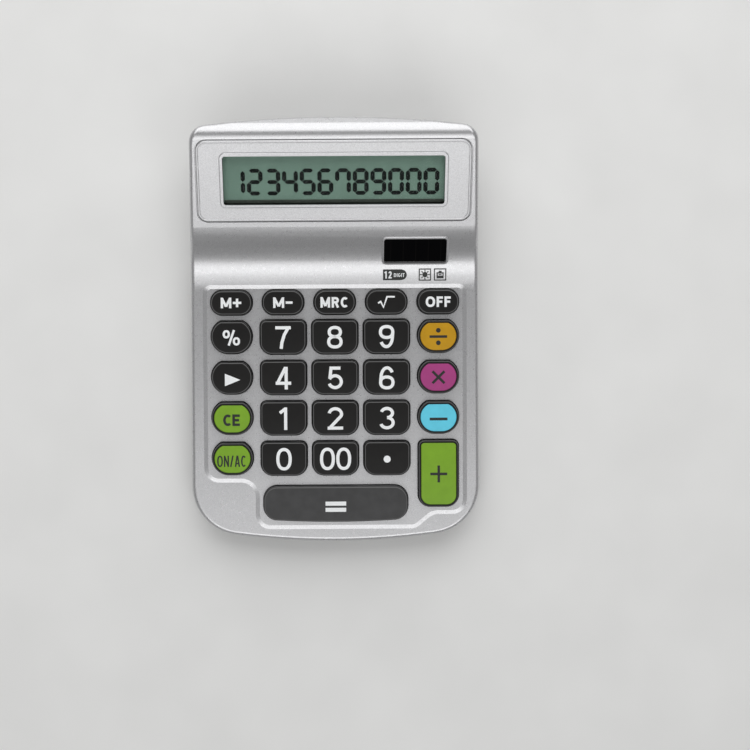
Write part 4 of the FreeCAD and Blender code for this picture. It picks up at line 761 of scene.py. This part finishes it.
lit = []
for place, shown in enumerate(DISPLAY_TEXT):
    across = LAST_DIGIT_U + (place - len(DISPLAY_TEXT) + 1) * DIGIT_PITCH
    lit += [moved(segment(letter), across, DIGITS_V) for letter in SEGMENTS_ON[shown]]
points, faces = together(lit)
laid = on_display(points[:, 0], points[:, 1], FILM_LEVEL + FILM_INK)
lay_print("display_digits", laid, faces, "housing", segment_ink)
print(len(faces), "segments lit")

# The painted shadow of the window's lower wall, as a dim strip on the film.
shadow_strip_points, shadow_strip_faces = bar(0, SHADOW_STRIP_V, SHADOW_STRIP_WIDE, SHADOW_STRIP_TALL)
laid = on_display(shadow_strip_points[:, 0], shadow_strip_points[:, 1], FILM_LEVEL + FILM_INK)
lay_print("display_painted_shadow", laid, shadow_strip_faces, "housing", film_shadow_ink)

# %% [markdown]
# ## Small prints on the step
#
# Below the solar cell there is a dark label that gives the number of digits, and two small framed
# pictures for sun and battery power. They lie on the hollow of the shell, so every point is set on the
# arc.

# %% Shapes of the label and the pictures
FRAME_LINE, RAY_DISTANCE, RAY_LENGTH, RAY_LINE, SUN_RADIUS = 0.34, 1.35, 0.60, 0.34, 0.9


def round_ended(width, height, rows=13):
    """A label, square at the left and half round at the right, cut into rows that can follow a hollow.

    At a height y, its right end is at half the width less half the height, plus the root of a quarter of
    the height squared minus y squared.
    """
    y = np.linspace(-height / 2, height / 2, rows)
    right = width / 2 - height / 2 + np.sqrt(height ** 2 / 4 - y ** 2)
    left = np.full(rows, -width / 2)
    points = np.concatenate([np.stack([left, y], axis=-1), np.stack([right, y], axis=-1)])
    return points, [(row, rows + row, rows + row + 1, row + 1) for row in range(rows - 1)]


def frame_square(side, line):
    """A square outline: four bars."""
    reach = (side - line) / 2
    return together([bar(0, reach, side, line), bar(0, -reach, side, line),
                     bar(reach, 0, line, side), bar(-reach, 0, line, side)])


def sun_picture(side):
    """A framed disc with eight rays."""
    rays = []
    for number in range(8):
        angle = number * math.pi / 4
        rays.append(bar(RAY_DISTANCE * math.cos(angle), RAY_DISTANCE * math.sin(angle),
                        RAY_LENGTH, RAY_LINE, angle))
    return together([frame_square(side, FRAME_LINE), disc(0, 0, SUN_RADIUS)] + rays)


def cell_picture(side):
    """A framed battery: a body, its cap and a mark for each pole."""
    return together([frame_square(side, FRAME_LINE), bar(0, -0.85, 2.4, 0.9), bar(0, 0.55, 2.4, 0.4),
                     bar(-1.0, 0.0, 0.4, 1.0), bar(1.0, 0.0, 0.4, 1.0),
                     bar(0, 1.0, 1.0, 0.5), bar(0, 0.0, 1.0, 0.3)])


print("a sun picture has", len(sun_picture(4.0)[1]), "faces")

# %% [markdown]
# Seen from above, a shape on a slope is foreshortened. The marks stand where the hollow leans by about
# fifteen degrees. Each layer lies a little higher than the one below it.

# %% Lay the label and the pictures
MARKS_Y, MARKS_LEAN, PICTURE_SIDE = 19.5, math.radians(15), 4.15
LABEL_LIFT, WORDS_LIFT, PICTURE_LIFT = 0.10, 0.16, 0.12


def print_on_valley(name, shape, centre_x, centre_y, ink, lift):
    """Lays a flat shape on the hollow, foreshortened by the hollow's lean there, a little above it."""
    points, faces = shape
    laid = on_valley(centre_x + points[:, 0], centre_y + points[:, 1] * math.cos(MARKS_LEAN), lift)
    lay_print(name, laid, faces, "housing", ink)


print_on_valley("digit_label", round_ended(8.0, 3.7), 20.3, MARKS_Y, black_ink, LABEL_LIFT)
print_on_valley("digit_label_number", lettering("12", 2.6, 2.5, 0.48), 17.95, MARKS_Y,
                white_ink, WORDS_LIFT)
print_on_valley("digit_label_word", lettering("DIGIT", 3.6, 1.3, 0.24), 21.75, MARKS_Y - 0.1,
                white_ink, WORDS_LIFT)
print_on_valley("sun_mark", sun_picture(PICTURE_SIDE), 30.4, MARKS_Y, black_ink, PICTURE_LIFT)
print_on_valley("cell_mark", cell_picture(PICTURE_SIDE), 35.5, MARKS_Y, black_ink, PICTURE_LIFT)
print("small prints done")

# %% [markdown]
# ## Floor, light and camera
#
# The object stands on a plain pale floor, large enough to fill every view.

# %% Floor
FLOOR_REACH, FLOOR_CLOUD_SCALE = 3.0, 30


def floor_finish():
    """Matt and pale, with slow clouds that are barely seen."""
    material, tree, shader = new_finish("pale_floor")
    tree.links.new(ramp(tree, grain(tree, FLOOR_CLOUD_SCALE), (0.80, 0.80, 0.79), (0.84, 0.84, 0.83)),
                   shader.inputs["Base Color"])
    shader.inputs["Roughness"].default_value = 0.8
    return material


floor_corners = [(x * FLOOR_REACH, y * FLOOR_REACH, 0) for x, y in ((-1, -1), (1, -1), (1, 1), (-1, 1))]
floor_mesh = bpy.data.meshes.new("floor")
floor_mesh.from_pydata(floor_corners, [], [(0, 1, 2, 3)])
floor_mesh.materials.append(floor_finish())
floor = bpy.data.objects.new("floor", floor_mesh)
bpy.context.scene.collection.objects.link(floor)
print("floor of", 2 * FLOOR_REACH, "m")

# %% [markdown]
# Three soft lamps make the look of the photograph: one in front that whitens the edges that lean
# forward, one behind for those that lean back, and a dim one overhead that the deck mirrors. A pale
# world fills the shadows. Each lamp has a place and a size in metres and a power in watts.

# %% Lamps
WORLD_LIGHT = 0.24


def soft_lamp(name, place, width, height, power):
    """A rectangular lamp that faces the middle of the object."""
    lamp = bpy.data.lights.new(name, "AREA")
    lamp.shape = "RECTANGLE"
    lamp.size, lamp.size_y = width, height
    lamp.energy = power
    holder = bpy.data.objects.new(name, lamp)
    bpy.context.scene.collection.objects.link(holder)
    holder.location = place
    aim = -holder.location
    holder.rotation_euler = aim.to_track_quat("-Z", "Y").to_euler()


soft_lamp("front_lamp", (0.0, -1.868, 2.348), width=3.3, height=1.17, power=22.5)
soft_lamp("top_lamp", (0.0, -0.28, 0.86), width=1.0, height=0.17, power=0.60)
soft_lamp("back_lamp", (0.0, 0.694, 0.582), width=1.2, height=1.18, power=7.6)

world = bpy.data.worlds.new("studio")
world.use_nodes = True
sky = world.node_tree.nodes["Background"]
sky.inputs["Color"].default_value = (1, 1, 1, 1)
sky.inputs["Strength"].default_value = WORLD_LIGHT
bpy.context.scene.world = world
bpy.context.scene.view_settings.view_transform = "Standard"
print("three lamps and a world of strength", WORLD_LIGHT)

# %% [markdown]
# The photograph looks straight down from about arm's length. The object stands off its middle, so the
# lens is shifted, and the camera is turned by a fraction of a degree. The width of the sensor turns the
# focal length in pixels into that of the lens.

# %% Camera
CAMERA_HEIGHT, CAMERA_Y, CAMERA_TURN = 600.0, 0.95, math.radians(-0.35)
FOCAL_PIXELS, IMAGE_SIDE, SENSOR_WIDTH = 1736.6, 750, 36.0
MIDDLE_X, MIDDLE_Y = 334.8, 330.4
lens = bpy.data.cameras.new("camera")
lens.sensor_width = SENSOR_WIDTH
lens.lens = FOCAL_PIXELS / IMAGE_SIDE * SENSOR_WIDTH
lens.shift_x = (IMAGE_SIDE / 2 - MIDDLE_X) / IMAGE_SIDE
lens.shift_y = (MIDDLE_Y - IMAGE_SIDE / 2) / IMAGE_SIDE
camera = bpy.data.objects.new("camera", lens)
bpy.context.scene.collection.objects.link(camera)
camera.location = (0.0, CAMERA_Y * MM, CAMERA_HEIGHT * MM)
camera.rotation_euler = (0.0, 0.0, CAMERA_TURN)
bpy.context.scene.camera = camera
print("lens", round(lens.lens, 1), "mm")
